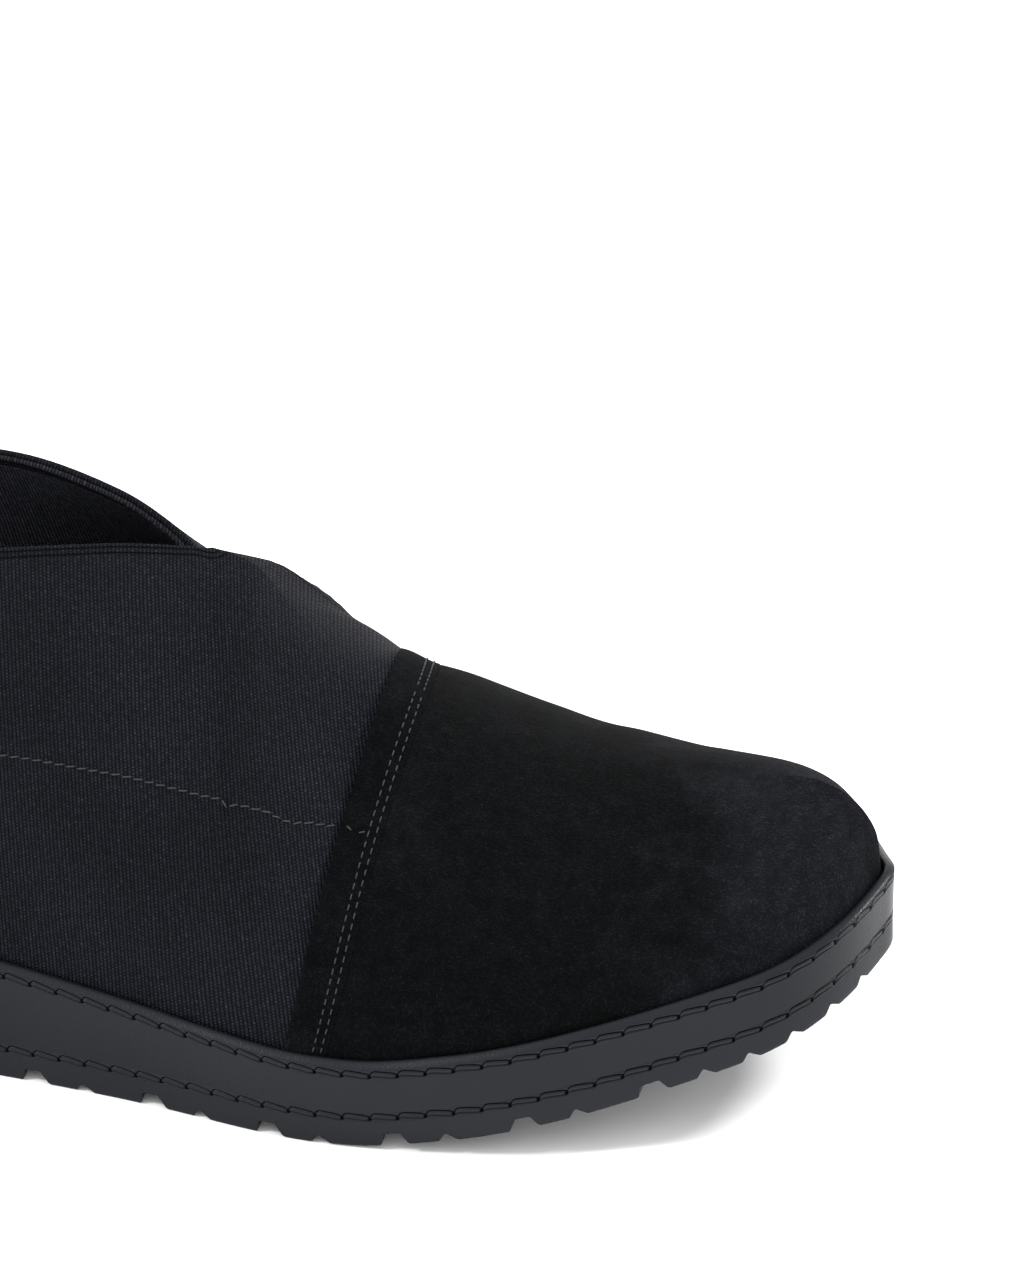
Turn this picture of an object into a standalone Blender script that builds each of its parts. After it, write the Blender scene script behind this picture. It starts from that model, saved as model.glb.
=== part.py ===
# Left slip-on shoe with a low wedge sole, crossed elastic bands and a suede toe.
# The toe points along +X, the outer side of the foot is +Y and the floor is Z = 0.
import math

import bpy
import bmesh
import numpy as np
from mathutils import Vector

# Driving sizes in metres.
LENGTH = 0.260
BALL_WIDTH = 0.0875
SOLE_HEEL = 0.0270
TOE_SPRING = 0.0185
ARCH_RISE = 0.0015
TREAD = 0.0041
RIM_RISE = 0.0026
RIM_WIDTH = 0.0018
COLLAR_FRONT = 0.0805
WALL = 0.0016
SKIN = 0.0013
INSOLE = 0.0032

# Room between touching pieces, and between the insole's edge and the upper's leaning wall.
CLEAR = 0.0003
BED_ROOM = 0.0009

# The two stitch grooves round the side of the sole, and the small edge break of its rubber.
# Shares are of the groove height: its flat back, then the lower groove's back and its sloping lip.
# The upper groove starts at a share of the rim height above the rim line.
GROOVE_DEPTH = 0.0009
GROOVE_HEIGHT = 0.0013
GROOVE_BACK = 0.6
LOWER_BACK = 0.9
LOWER_LIP = 1.3
GROOVE_RISE = 0.55
EDGE = 0.0005
SIDE_INSET = 0.00015

# Tread notches: reach inward and start outside the edge, and the sizes of the two forms.
NOTCH_REACH = 0.0100
NOTCH_START = 0.0030
WIDE_NOTCH = 0.0044
WIDE_DEPTH = 0.0021
SMALL_NOTCH = 0.0030
SMALL_DEPTH = 0.0014

# Places of the notches, as shares of the way round from heel to toe: the first wide one, the step
# from one wide one to the next, their number, the small one beside each, and the step of the small
# ones that go round the heel and the toe.
FIRST_WIDE = 0.1223
WIDE_STEP = 0.0657
WIDE_COUNT = 12
BESIDE_WIDE = 0.0271
SMALL_STEP = 0.0234

# Share of the notch reach left at the heel and toe ends, and its gain along the edge.
END_ROOM = 0.20
ROOM_GAIN = 3.0

# Notch outlines: share of the width toward the toe, share of the depth.
WIDE_FORM = ((-0.5, 0.0), (-0.45, 1.0), (0.12, 1.0), (0.5, 0.0), (0.5, -1.0), (-0.5, -1.0))
SMALL_FORM = ((-0.5, 0.0), (-0.22, 1.0), (-0.1, 1.0), (0.5, 0.0), (0.5, -1.0), (-0.5, -1.0))

# Mesh steps: ribs on each half of the shoe, spans up each rib, points along a seam and points
# between two rows of the sole outline.
RIBS = 32
RISERS = 10
SEAM_STEPS = 14
OUTLINE_STEPS = 24

# Share of a rib or of the way round used to measure a direction, the smallest share or length
# that counts, and the distance under which corners are one.
PROBE = 0.004
TINY = 1e-6
JOIN = 5e-5

# Sole outline seen from above.
# Columns: share of the length from the heel, inner half width, outer half width (of the ball width).
OUTLINE = (
    (0.0000, 0.000, 0.000),
    (0.0150, 0.183, 0.183),
    (0.0460, 0.297, 0.297),
    (0.0960, 0.360, 0.360),
    (0.1730, 0.377, 0.383),
    (0.2690, 0.360, 0.389),
    (0.3650, 0.338, 0.400),
    (0.4420, 0.335, 0.423),
    (0.5190, 0.364, 0.463),
    (0.5960, 0.411, 0.503),
    (0.6730, 0.465, 0.526),
    (0.7310, 0.473, 0.519),
    (0.7880, 0.462, 0.486),
    (0.8460, 0.423, 0.425),
    (0.9040, 0.358, 0.352),
    (0.9500, 0.298, 0.240),
    (0.9810, 0.204, 0.097),
    (0.9960, 0.112, -0.023),
    (1.0000, 0.066, -0.066),
)

# Height of the rim line above the tread.
# Columns: share of the length, share of the heel height.
SOLE_HEIGHT = (
    (0.00, 1.000),
    (0.15, 0.940),
    (0.30, 0.810),
    (0.47, 0.665),
    (0.55, 0.563),
    (0.61, 0.488),
    (0.67, 0.442),
    (0.73, 0.428),
    (0.82, 0.434),
    (0.90, 0.422),
    (1.00, 0.412),
)

# Lift of the tread off the floor at the toe.
# Columns: share of the length, share of the toe spring.
TOE_LIFT = (
    (0.00, 0.000),
    (0.66, 0.000),
    (0.70, 0.012),
    (0.76, 0.130),
    (0.85, 0.420),
    (0.93, 0.730),
    (1.00, 1.180),
)

# Lift of the tread under the waist.
# Columns: share of the length, share of the arch rise.
ARCH_LIFT = (
    (0.00, 0.0),
    (0.24, 0.0),
    (0.34, 1.0),
    (0.40, 1.0),
    (0.44, 0.0),
    (1.00, 0.0),
)

# Upper ends of the ribs: collar edge back to front, then the ridge over the instep and toes.
# Columns: share of the way round from heel to toe, share of the length, half width (of the ball
# width), height (of the collar front), lean at the top in degrees, fullness low, fullness high.
RIB_TOPS = (
    (0.000, 0.0250, 0.000, 1.080, 12.0, 0.55, 0.50),
    (0.060, 0.0330, 0.092, 1.075, 12.0, 0.55, 0.50),
    (0.110, 0.0520, 0.166, 1.065, 12.0, 0.55, 0.50),
    (0.160, 0.0880, 0.229, 1.035, 12.0, 0.55, 0.50),
    (0.220, 0.1460, 0.274, 0.990, 14.0, 0.55, 0.50),
    (0.300, 0.2310, 0.297, 0.950, 16.0, 0.55, 0.50),
    (0.380, 0.3230, 0.280, 0.965, 20.0, 0.55, 0.45),
    (0.450, 0.4080, 0.230, 1.010, 25.0, 0.52, 0.40),
    (0.510, 0.4770, 0.178, 1.027, 32.0, 0.50, 0.38),
    (0.560, 0.5380, 0.100, 1.010, 42.0, 0.47, 0.40),
    (0.600, 0.5760, 0.034, 0.975, 48.0, 0.46, 0.42),
    (0.625, 0.5940, 0.000, 0.948, 60.0, 0.45, 0.42),
    (0.650, 0.6180, 0.000, 0.926, 74.0, 0.44, 0.38),
    (0.670, 0.6420, 0.000, 0.840, 84.0, 0.44, 0.36),
    (0.700, 0.6780, 0.000, 0.737, 90.0, 0.43, 0.36),
    (0.735, 0.7130, 0.000, 0.702, 90.0, 0.42, 0.40),
    (0.770, 0.7520, 0.000, 0.657, 90.0, 0.42, 0.42),
    (0.810, 0.7960, 0.000, 0.607, 90.0, 0.44, 0.45),
    (0.860, 0.8540, 0.000, 0.580, 90.0, 0.48, 0.40),
    (0.930, 0.9100, 0.000, 0.583, 90.0, 0.55, 0.54),
    (1.000, 0.9400, 0.000, 0.590, 90.0, 0.60, 0.62),
)
OPEN_SHARE = 0.625

# Sideways place of the ridge and collar middle.
# Columns: share of the length, shift to the inner side (of the ball width).
RIDGE_SHIFT = (
    (0.00, 0.000),
    (0.25, 0.000),
    (0.48, 0.000),
    (0.58, -0.003),
    (0.66, 0.006),
    (0.75, 0.040),
    (1.00, 0.042),
)

# Seams seen from the inner side, from the sole up.
# Columns: height (of the collar front), share of the length.
STRIP_SEAM = (
    (0.00, 0.650),
    (0.24, 0.668),
    (0.50, 0.684),
    (0.80, 0.708),
    (1.30, 0.748),
)
COUNTER_SEAM = (
    (0.00, 0.352),
    (0.30, 0.340),
    (0.65, 0.285),
    (1.00, 0.225),
    (1.30, 0.180),
)
STRIP_WIDTH = 0.0068
STRIP_STEP = 0.0006
STRIP_TIP = 0.0012

# Top edge of the inner band seen from above, where it crosses the ridge.
# Columns: share of the length, shift to the inner side from the ridge (of the ball width).
BAND_EDGE = (
    (0.05, 0.120),
    (0.58, 0.010),
    (0.60, -0.004),
    (0.615, -0.030),
    (0.63, -0.100),
    (0.65, -0.190),
    (0.68, -0.300),
    (0.72, -0.430),
    (0.80, -0.640),
)
BAND_LIFT = 0.0016

# Where the small steps of the skin start and end: shares of the way round or up a rib.
BAND_CLIMB_ROUND = (OPEN_SHARE - 0.07, OPEN_SHARE - 0.01)
BAND_CLIMB_UP = (0.72, 0.93)
VAMP_CLIMB_UP = (0.12, 0.35)
TIP_FADE_ROUND = (0.74, 0.80)
TIP_CLIMB_UP = (0.55, 0.95)

# Cutting shapes reach this far past the shoe: outward, down, and up as a share of the collar front.
PAST = 0.02
BELOW = 0.01
CEILING = 1.3

# Rim and side of the midsole from the cup floor outward and down.
# Columns: share of the rim width inward, share of the rim height above the rim line.
RIM_PROFILE = (
    (1.00, 0.00),
    (1.00, 0.90),
    (0.82, 1.00),
    (0.45, 0.90),
    (0.10, 0.66),
    (0.00, 0.57),
)

COLOURS = {
    "sole_rubber": ((0.052, 0.056, 0.064), 0.55),
    "tread_rubber": ((0.045, 0.049, 0.056), 0.65),
    "footbed": ((0.020, 0.021, 0.023), 0.85),
    "lining": ((0.022, 0.023, 0.026), 0.85),
    "elastic": ((0.030, 0.032, 0.036), 0.80),
    "suede": ((0.016, 0.018, 0.021), 0.90),
    "strip_suede": ((0.018, 0.020, 0.023), 0.90),
    "counter_suede": ((0.017, 0.019, 0.022), 0.90),
}


# Smooth curve through points, with slopes that never overshoot.
def curve(table, column):
    xs = np.array([row[0] for row in table])
    ys = np.array([row[column] for row in table])
    steps = np.diff(xs)
    rises = np.diff(ys) / steps
    slopes = np.zeros(len(xs))
    slopes[0], slopes[-1] = rises[0], rises[-1]
    for k in range(1, len(xs) - 1):
        if rises[k - 1] * rises[k] > 0:
            before = 2 * steps[k] + steps[k - 1]
            after = steps[k] + 2 * steps[k - 1]
            slopes[k] = (before + after) / (before / rises[k - 1] + after / rises[k])

    def value(x):
        x = np.clip(x, xs[0], xs[-1])
        k = np.clip(np.searchsorted(xs, x, side="right") - 1, 0, len(xs) - 2)
        t = (x - xs[k]) / steps[k]
        low = ys[k] * (1 + 2 * t) * (1 - t) ** 2 + slopes[k] * steps[k] * t * (1 - t) ** 2
        high = ys[k + 1] * t * t * (3 - 2 * t) + slopes[k + 1] * steps[k] * t * t * (t - 1)
        return low + high

    return value


# Closed smooth outline of the sole, cut into an inner and an outer half from heel to toe.
def outline_halves():
    inner = [(row[0] * LENGTH, -row[1] * BALL_WIDTH) for row in OUTLINE]
    outer = [(row[0] * LENGTH, row[2] * BALL_WIDTH) for row in OUTLINE[-2:0:-1]]
    points = np.array(inner + outer)
    count = len(points)
    ring = np.vstack([points, points[:1]])
    chords = np.linalg.norm(np.diff(ring, axis=0), axis=1)
    bends = np.zeros((count, count))
    right = np.zeros((count, 2))
    for k in range(count):
        before, after = chords[k - 1], chords[k]
        bends[k, k - 1] = before
        bends[k, k] = 2 * (before + after)
        bends[k, (k + 1) % count] = after
        right[k] = 6 * ((ring[k + 1] - ring[k]) / after - (ring[k] - ring[k - 1 if k else -2]) / before)
    second = np.linalg.solve(bends, right)
    fine = []
    for k in range(count):
        size = chords[k]
        nxt = (k + 1) % count
        for t in np.linspace(0, 1, OUTLINE_STEPS, endpoint=False):
            a, b = 1 - t, t
            place = a * ring[k] + b * ring[k + 1]
            place = place + ((a ** 3 - a) * second[k] + (b ** 3 - b) * second[nxt]) * size ** 2 / 6
            fine.append(place)
    fine = np.array(fine + [fine[0]])
    toe = (len(OUTLINE) - 1) * OUTLINE_STEPS
    return fine[: toe + 1], fine[toe:][::-1]


class HalfOutline:
    def __init__(self, points, side):
        self.points = points
        self.side = side
        steps = np.linalg.norm(np.diff(points, axis=0), axis=1)
        self.runs = np.concatenate([[0], np.cumsum(steps)])
        self.length = self.runs[-1]

    def at(self, share):
        run = np.clip(share, 0, 1) * self.length
        return np.array([np.interp(run, self.runs, self.points[:, axis]) for axis in (0, 1)])

    def inward(self, share):
        if share <= 0:
            return np.array([1.0, 0.0])
        if share >= 1:
            return np.array([-1.0, 0.0])
        along = self.at(share + PROBE) - self.at(share - PROBE)
        along = along / np.linalg.norm(along)
        return np.array([along[1], -along[0]]) * self.side

    def inset(self, share, depth):
        return self.at(share) + self.inward(share) * depth


INNER, OUTER = -1, 1
inner_points, outer_points = outline_halves()
SIDES = {INNER: HalfOutline(inner_points, INNER), OUTER: HalfOutline(outer_points, OUTER)}

sole_height = curve(SOLE_HEIGHT, 1)
toe_lift = curve(TOE_LIFT, 1)
arch_lift = curve(ARCH_LIFT, 1)
ridge_shift = curve(RIDGE_SHIFT, 1)
top_place, top_width, top_height, top_lean, low_full, high_full = [curve(RIB_TOPS, c) for c in range(1, 7)]


def tread_level(x):
    share = x / LENGTH
    return TOE_SPRING * toe_lift(share) + ARCH_RISE * arch_lift(share)


def tread_top(x):
    return tread_level(x) + TREAD


def rim_height(x):
    return SOLE_HEEL * sole_height(x / LENGTH)


def rim_line(x):
    return tread_level(x) + rim_height(x)


def ridge_line(x):
    return -BALL_WIDTH * ridge_shift(x / LENGTH)


# Upper end of a rib.
def rib_top(side, share):
    x = LENGTH * float(top_place(share))
    y = float(ridge_line(x)) + side * BALL_WIDTH * float(top_width(share))
    return np.array([x, y, COLLAR_FRONT * float(top_height(share))])


# Rise of the ridge for each step toward the toe.
def ridge_slope(share):
    middle = min(share, 1 - PROBE)
    ahead = rib_top(INNER, middle + PROBE)
    behind = rib_top(INNER, middle - PROBE)
    return (ahead[2] - behind[2]) / (ahead[0] - behind[0])


# Point on the outermost skin of the upper: share round from heel to toe, share up the rib.
def skin_point(side, share, rise):
    base_xy = SIDES[side].inset(share, RIM_WIDTH + CLEAR)
    base = np.array([base_xy[0], base_xy[1], float(rim_line(base_xy[0])) + CLEAR])
    top = rib_top(side, share)
    across = top[:2] - base[:2]
    width = np.linalg.norm(across)
    across = across / max(width, TINY)
    tall = top[2] - base[2]
    lean = math.radians(float(top_lean(share)))
    slope = ridge_slope(share) if share > OPEN_SHARE else 0.0
    finish = np.array([*(across * math.sin(lean)), math.cos(lean) + slope * across[0] * math.sin(lean)])
    low = base + np.array([0, 0, float(low_full(share)) * tall])
    reach = float(high_full(share)) * (width * math.sin(lean) + tall * math.cos(lean))
    high = top - finish * reach
    t, s = rise, 1 - rise
    return s ** 3 * base + 3 * s * s * t * low + 3 * s * t * t * high + t ** 3 * top


def skin_normal(side, share, rise):
    a, b = max(share - PROBE, 0.0), min(share + PROBE, 1.0)
    if rise > 1 - TINY:
        if share > OPEN_SHARE + TINY:
            normal = np.array([-ridge_slope(share), 0.0, 1.0])
            return normal / np.linalg.norm(normal)
        rise = 1 - PROBE / 10
    c, d = max(rise - PROBE, 0.0), min(rise + PROBE, 1.0)
    along = skin_point(side, b, rise) - skin_point(side, a, rise)
    up = skin_point(side, share, d) - skin_point(side, share, c)
    normal = np.cross(along, up) * -side
    if rise < TINY:
        normal[2] = 0
    return normal / np.linalg.norm(normal)


# Grid of outer points, matching directions outward, and faces over both halves of the upper.
def skin_grid(ribs, risers):
    shares = np.linspace(0, 1, ribs + 1)
    rises = np.linspace(0, 1, risers + 1)
    points, normals, marks, faces = [], [], [], []
    for side in (INNER, OUTER):
        start = len(points)
        for share in shares:
            for rise in rises:
                points.append(skin_point(side, share, rise))
                normals.append(skin_normal(side, share, rise))
                marks.append((side, share, rise))
        rows = risers + 1
        for i in range(len(shares) - 1):
            for j in range(risers):
                a = start + i * rows + j
                quad = (a, a + rows, a + rows + 1, a + 1)
                faces.append(quad if side == INNER else quad[::-1])
    return np.array(points), np.array(normals), marks, faces


# Closed wall between two offsets of the skin, with shared corners joined once.
def wall_mesh(name, grid, outer_offset, inner_offset):
    points, normals, marks, faces = grid
    keys, owner, joined = {}, [], []
    for point in points:
        key = tuple(np.round(point / JOIN).astype(int))
        if key not in keys:
            keys[key] = len(joined)
            joined.append([])
        owner.append(keys[key])
    for index, slot in enumerate(owner):
        joined[slot].append(index)
    outer, inner = [], []
    for group in joined:
        point = points[group[0]]
        normal = sum(normals[k] for k in group)
        normal = normal / np.linalg.norm(normal)
        outer.append(point + normal * outer_offset(*marks[group[0]]))
        inner.append(point + normal * inner_offset(*marks[group[0]]))
    count = len(outer)
    solid, border = [], {}
    for face in faces:
        ring = []
        for corner in face:
            if owner[corner] not in ring:
                ring.append(owner[corner])
        if len(ring) < 3:
            continue
        for tip in range(1, len(ring) - 1):
            solid.append((ring[0], ring[tip], ring[tip + 1]))
            solid.append((ring[0] + count, ring[tip + 1] + count, ring[tip] + count))
        for a, b in zip(ring, ring[1:] + ring[:1]):
            if (b, a) in border:
                del border[(b, a)]
            else:
                border[(a, b)] = True
    for a, b in border:
        solid.append([b, a, a + count, b + count])
    return new_mesh(name, outer + inner, solid)


def new_mesh(name, points, faces):
    mesh = bpy.data.meshes.new(name)
    mesh.from_pydata([tuple(p) for p in points], [], [list(f) for f in faces])
    build = bmesh.new()
    build.from_mesh(mesh)
    bmesh.ops.recalc_face_normals(build, faces=build.faces)
    bmesh.ops.triangulate(build, faces=build.faces)
    build.to_mesh(mesh)
    build.free()
    return mesh


# Closed body round the sole: rings of (inset, level) from the top cap to the bottom cap.
def ring_body(name, profile, steps):
    shares = np.linspace(0, 1, steps + 1)
    stations = [(INNER, s) for s in shares] + [(OUTER, s) for s in shares[-2:0:-1]]
    points = []
    for inset, level in profile:
        for side, share in stations:
            x, y = SIDES[side].inset(share, inset)
            points.append((x, y, float(level(x))))
    count = len(stations)
    faces = []
    for k in range(len(profile) - 1):
        for i in range(count):
            j = (i + 1) % count
            faces.append((k * count + i, (k + 1) * count + i, (k + 1) * count + j, k * count + j))
    last = (len(profile) - 1) * count
    for start in (0, last):
        for i in range(steps):
            a, b = i, i + 1
            c, d = (count - b) % count, (count - a) % count
            ring = []
            for k in (a, b, c, d):
                if start + k not in ring:
                    ring.append(start + k)
            faces.append(ring)
    return new_mesh(name, points, faces)


def material(name):
    colour, rough = COLOURS[name]
    made = bpy.data.materials.new(name)
    made.use_nodes = True
    shader = made.node_tree.nodes["Principled BSDF"]
    shader.inputs["Base Color"].default_value = (*colour, 1)
    shader.inputs["Roughness"].default_value = rough
    shader.inputs["Metallic"].default_value = 0.0
    made.diffuse_color = (*colour, 1)
    return made


def clear_scene():
    for thing in list(bpy.data.objects):
        bpy.data.objects.remove(thing, do_unlink=True)


def new_collection(name):
    made = bpy.data.collections.new(name)
    bpy.context.scene.collection.children.link(made)
    return made


def place(name, mesh, home, slot=None):
    made = bpy.data.objects.new(name, mesh)
    home.objects.link(made)
    if slot:
        mesh.materials.append(material(slot))
    return made


def cut(target, tool, mode):
    step = target.modifiers.new(tool.name, "BOOLEAN")
    step.operation = mode
    step.solver = "EXACT"
    step.object = tool


# Upright or level prism for cutting: outline points pushed along one axis.
def prism(name, outline, axis, low, high, home):
    points = []
    for level in (low, high):
        for u, v in outline:
            points.append((u, level, v) if axis == "Y" else (u, v, level))
    count = len(outline)
    faces = [tuple(range(count)), tuple(range(count, 2 * count))]
    for i in range(count):
        j = (i + 1) % count
        faces.append((i, j, j + count, i + count))
    made = place(name, new_mesh(name, points, faces), home)
    made.hide_render = True
    made.display_type = "WIRE"
    return made


def seam_points(table, shift):
    along = curve(table, 1)
    heights = np.linspace(table[0][0], table[-1][0], SEAM_STEPS)
    return [(LENGTH * float(along(h)) + shift, COLLAR_FRONT * h) for h in heights]


# Region between two seams in the side view.
def region(name, rear, front, home):
    return prism(name, rear + front[::-1], "Y", -BALL_WIDTH, BALL_WIDTH, home)


def sole_profiles():
    rim = []
    for inward, rise in RIM_PROFILE:
        rim.append((RIM_WIDTH * inward, lambda x, r=rise: rim_line(x) + RIM_RISE * r))
    start = RIM_RISE * GROOVE_RISE
    side = [
        (GROOVE_DEPTH, lambda x: rim_line(x) + start),
        (GROOVE_DEPTH, lambda x: rim_line(x) + start - GROOVE_HEIGHT * GROOVE_BACK),
        (SIDE_INSET, lambda x: rim_line(x) + start - GROOVE_HEIGHT),
        (SIDE_INSET, lambda x: tread_top(x) + CLEAR + GROOVE_HEIGHT * LOWER_LIP),
        (GROOVE_DEPTH, lambda x: tread_top(x) + CLEAR + GROOVE_HEIGHT * LOWER_BACK),
        (GROOVE_DEPTH, lambda x: tread_top(x) + CLEAR),
    ]
    tread = [
        (EDGE, tread_top),
        (0.0, lambda x: tread_top(x) - EDGE),
        (0.0, tread_level),
    ]
    return rim + side, tread


# Prism of one notch form laid along the tread from one place to another.
def notch_prism(form, wide, deep, start, end, along):
    points = []
    probe = PROBE * LENGTH
    for spot in (start, end):
        slope = (tread_level(spot[0] + probe) - tread_level(spot[0] - probe)) / (2 * probe)
        for u, v in form:
            x, y = spot + along * u * wide
            level = tread_level(spot[0]) + slope * (x - spot[0])
            points.append((x, y, float(level) + v * deep))
    size = len(form)
    faces = [list(range(size)), list(range(size, 2 * size))]
    for i in range(size):
        j = (i + 1) % size
        faces.append((i, j, size + j, size + i))
    return points, faces


# Shares of the way round where the small notches lie: round the heel, between the wide ones and
# round the toe.
def small_places():
    heel = np.arange(FIRST_WIDE - BESIDE_WIDE, SMALL_STEP, -SMALL_STEP)
    between = FIRST_WIDE + BESIDE_WIDE + WIDE_STEP * np.arange(WIDE_COUNT)
    toe = np.arange(between[-1] + SMALL_STEP, 1 - SMALL_STEP, SMALL_STEP)
    return np.concatenate([heel, between, toe])


# One cutter from a list of prisms.
def notch_cutter(name, prisms, home):
    points, faces = [], []
    for corners, sides in prisms:
        faces.extend([[k + len(points) for k in side] for side in sides])
        points.extend(corners)
    made = place(name, new_mesh(name, points, faces), home)
    made.hide_render = True
    made.display_type = "WIRE"
    return made


# Channels right across the tread.
def wide_notches():
    prisms = []
    for k in range(WIDE_COUNT):
        share = FIRST_WIDE + WIDE_STEP * k
        near = SIDES[INNER].at(share)
        far = SIDES[OUTER].at(share)
        line = (far - near) / np.linalg.norm(far - near)
        along = np.array([line[1], -line[0]])
        ends = near - line * NOTCH_START, far + line * NOTCH_START
        prisms.append(notch_prism(WIDE_FORM, WIDE_NOTCH, WIDE_DEPTH, *ends, along))
    return prisms


# Short notches of one side, between the channels and round both ends.
def small_notches(side):
    prisms = []
    for share in small_places():
        room = min(1.0, END_ROOM + ROOM_GAIN * min(share, 1 - share))
        inward = SIDES[side].inward(share)
        along = np.array([-inward[1], inward[0]]) * side
        start = SIDES[side].at(share) - inward * NOTCH_START
        end = SIDES[side].at(share) + inward * NOTCH_REACH * room
        prisms.append(notch_prism(SMALL_FORM, SMALL_NOTCH, SMALL_DEPTH, start, end, along))
    return prisms


def smooth_step(value, low, high):
    t = min(max((value - low) / (high - low), 0.0), 1.0)
    return t * t * (3 - 2 * t)


def flat(value):
    return lambda side, share, rise: value


# Offset of the inner band: it climbs over the outer band where the two cross.
def band_offset(base):
    def offset(side, share, rise):
        climb = smooth_step(share, *BAND_CLIMB_ROUND)
        if side == INNER:
            climb = climb * smooth_step(rise, *BAND_CLIMB_UP)
        return base + BAND_LIFT * climb

    return offset


def vamp_offset(side, share, rise):
    return STRIP_STEP * smooth_step(rise, *VAMP_CLIMB_UP)


def strip_offset(base):
    def offset(side, share, rise):
        back = 1 - smooth_step(share, *TIP_FADE_ROUND)
        return base + vamp_offset(side, share, rise) + STRIP_TIP * back * smooth_step(rise, *TIP_CLIMB_UP)

    return offset


def make_all():
    clear_scene()
    shoe = new_collection("slip_on_shoe")
    tools = new_collection("cutters")
    rim_side, tread = sole_profiles()
    outsole = place("outsole", ring_body("outsole", tread, RIBS), shoe, "tread_rubber")
    cut(outsole, notch_cutter("channels", wide_notches(), tools), "DIFFERENCE")
    cut(outsole, notch_cutter("inner_notches", small_notches(INNER), tools), "DIFFERENCE")
    cut(outsole, notch_cutter("outer_notches", small_notches(OUTER), tools), "DIFFERENCE")
    place("midsole", ring_body("midsole", rim_side, RIBS), shoe, "sole_rubber")
    wall = RIM_WIDTH + CLEAR + SKIN + CLEAR + WALL
    bed = [
        (wall + BED_ROOM, lambda x: rim_line(x) + CLEAR + INSOLE),
        (wall + BED_ROOM, lambda x: rim_line(x) + CLEAR),
    ]
    place("insole", ring_body("insole", bed, RIBS), shoe, "footbed")
    grid = skin_grid(RIBS, RISERS)

    def skin_piece(name, outer_offset, inner_offset, slot):
        return place(name, wall_mesh(name, grid, outer_offset, inner_offset), shoe, slot)

    under = -SKIN - CLEAR
    skin_piece("upper", flat(under), flat(under - WALL), "lining")
    strip_rear = seam_points(STRIP_SEAM, 0.0)
    band_front = seam_points(STRIP_SEAM, -CLEAR)
    strip_front = seam_points(STRIP_SEAM, STRIP_WIDTH)
    vamp_rear = seam_points(STRIP_SEAM, STRIP_WIDTH + CLEAR)
    counter_front = seam_points(COUNTER_SEAM, 0.0)
    band_rear = seam_points(COUNTER_SEAM, CLEAR)
    ceiling = COLLAR_FRONT * CEILING
    behind = [(-PAST, 0.0), (-PAST, ceiling)]
    ahead = [(LENGTH + PAST, 0.0), (LENGTH + PAST, ceiling)]
    band_side = region("band_side", band_rear, band_front, tools)
    edge = curve(BAND_EDGE, 1)
    edge_x = np.linspace(BAND_EDGE[0][0], BAND_EDGE[-1][0], SEAM_STEPS) * LENGTH
    edge_line = [(x, float(ridge_line(x)) - BALL_WIDTH * float(edge(x / LENGTH))) for x in edge_x]
    inner_plan = edge_line + [(edge_x[-1], -BALL_WIDTH), (edge_x[0], -BALL_WIDTH)]
    inner_area = prism("inner_area", inner_plan, "Z", -BELOW, ceiling, tools)
    outer_line = [(x, float(ridge_line(x))) for x in edge_x]
    outer_plan = outer_line + [(edge_x[-1], BALL_WIDTH), (edge_x[0], BALL_WIDTH)]
    outer_area = prism("outer_area", outer_plan, "Z", -BELOW, ceiling, tools)
    band = skin_piece("inner_band", band_offset(0.0), band_offset(-SKIN), "elastic")
    cut(band, band_side, "INTERSECT")
    cut(band, inner_area, "INTERSECT")
    band = skin_piece("outer_band", flat(0.0), flat(-SKIN), "elastic")
    cut(band, band_side, "INTERSECT")
    cut(band, outer_area, "INTERSECT")
    strip = skin_piece("vamp_strip", strip_offset(0.0), flat(-SKIN), "strip_suede")
    cut(strip, region("strip_side", strip_rear, strip_front, tools), "INTERSECT")
    vamp = skin_piece("vamp", vamp_offset, flat(-SKIN), "suede")
    cut(vamp, region("vamp_side", vamp_rear, ahead, tools), "INTERSECT")
    counter = skin_piece("heel_counter", flat(0.0), flat(-SKIN), "counter_suede")
    cut(counter, region("counter_side", behind, counter_front, tools), "INTERSECT")
    middle = (outer_points[:, 1].max() + inner_points[:, 1].min()) / 2
    shift = Vector((-LENGTH / 2, -middle, 0.0))
    for thing in list(shoe.objects) + list(tools.objects):
        for vertex in thing.data.vertices:
            vertex.co += shift


make_all()
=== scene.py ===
# Left slip-on shoe: the looks of every piece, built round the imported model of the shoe.
# The toe points along +X, the outer side of the foot is +Y and the floor is Z = 0.
import math

import bmesh
import bpy
import numpy as np
from mathutils import Matrix, Vector


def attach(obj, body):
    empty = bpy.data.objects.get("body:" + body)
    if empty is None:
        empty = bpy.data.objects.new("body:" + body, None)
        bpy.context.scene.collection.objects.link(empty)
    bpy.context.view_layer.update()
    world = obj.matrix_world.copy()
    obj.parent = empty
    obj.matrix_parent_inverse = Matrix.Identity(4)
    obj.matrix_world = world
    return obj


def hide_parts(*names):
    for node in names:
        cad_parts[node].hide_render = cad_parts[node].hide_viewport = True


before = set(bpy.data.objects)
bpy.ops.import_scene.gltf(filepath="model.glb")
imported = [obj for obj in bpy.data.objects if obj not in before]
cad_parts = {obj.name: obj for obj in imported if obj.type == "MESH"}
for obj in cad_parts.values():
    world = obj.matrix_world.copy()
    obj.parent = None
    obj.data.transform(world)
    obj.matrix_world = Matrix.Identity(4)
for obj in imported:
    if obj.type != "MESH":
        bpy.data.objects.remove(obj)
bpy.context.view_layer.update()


# Driving sizes in metres, as in the part's source.
LENGTH = 0.260
BALL_WIDTH = 0.0875
SOLE_HEEL = 0.0270
TOE_SPRING = 0.0185
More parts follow.
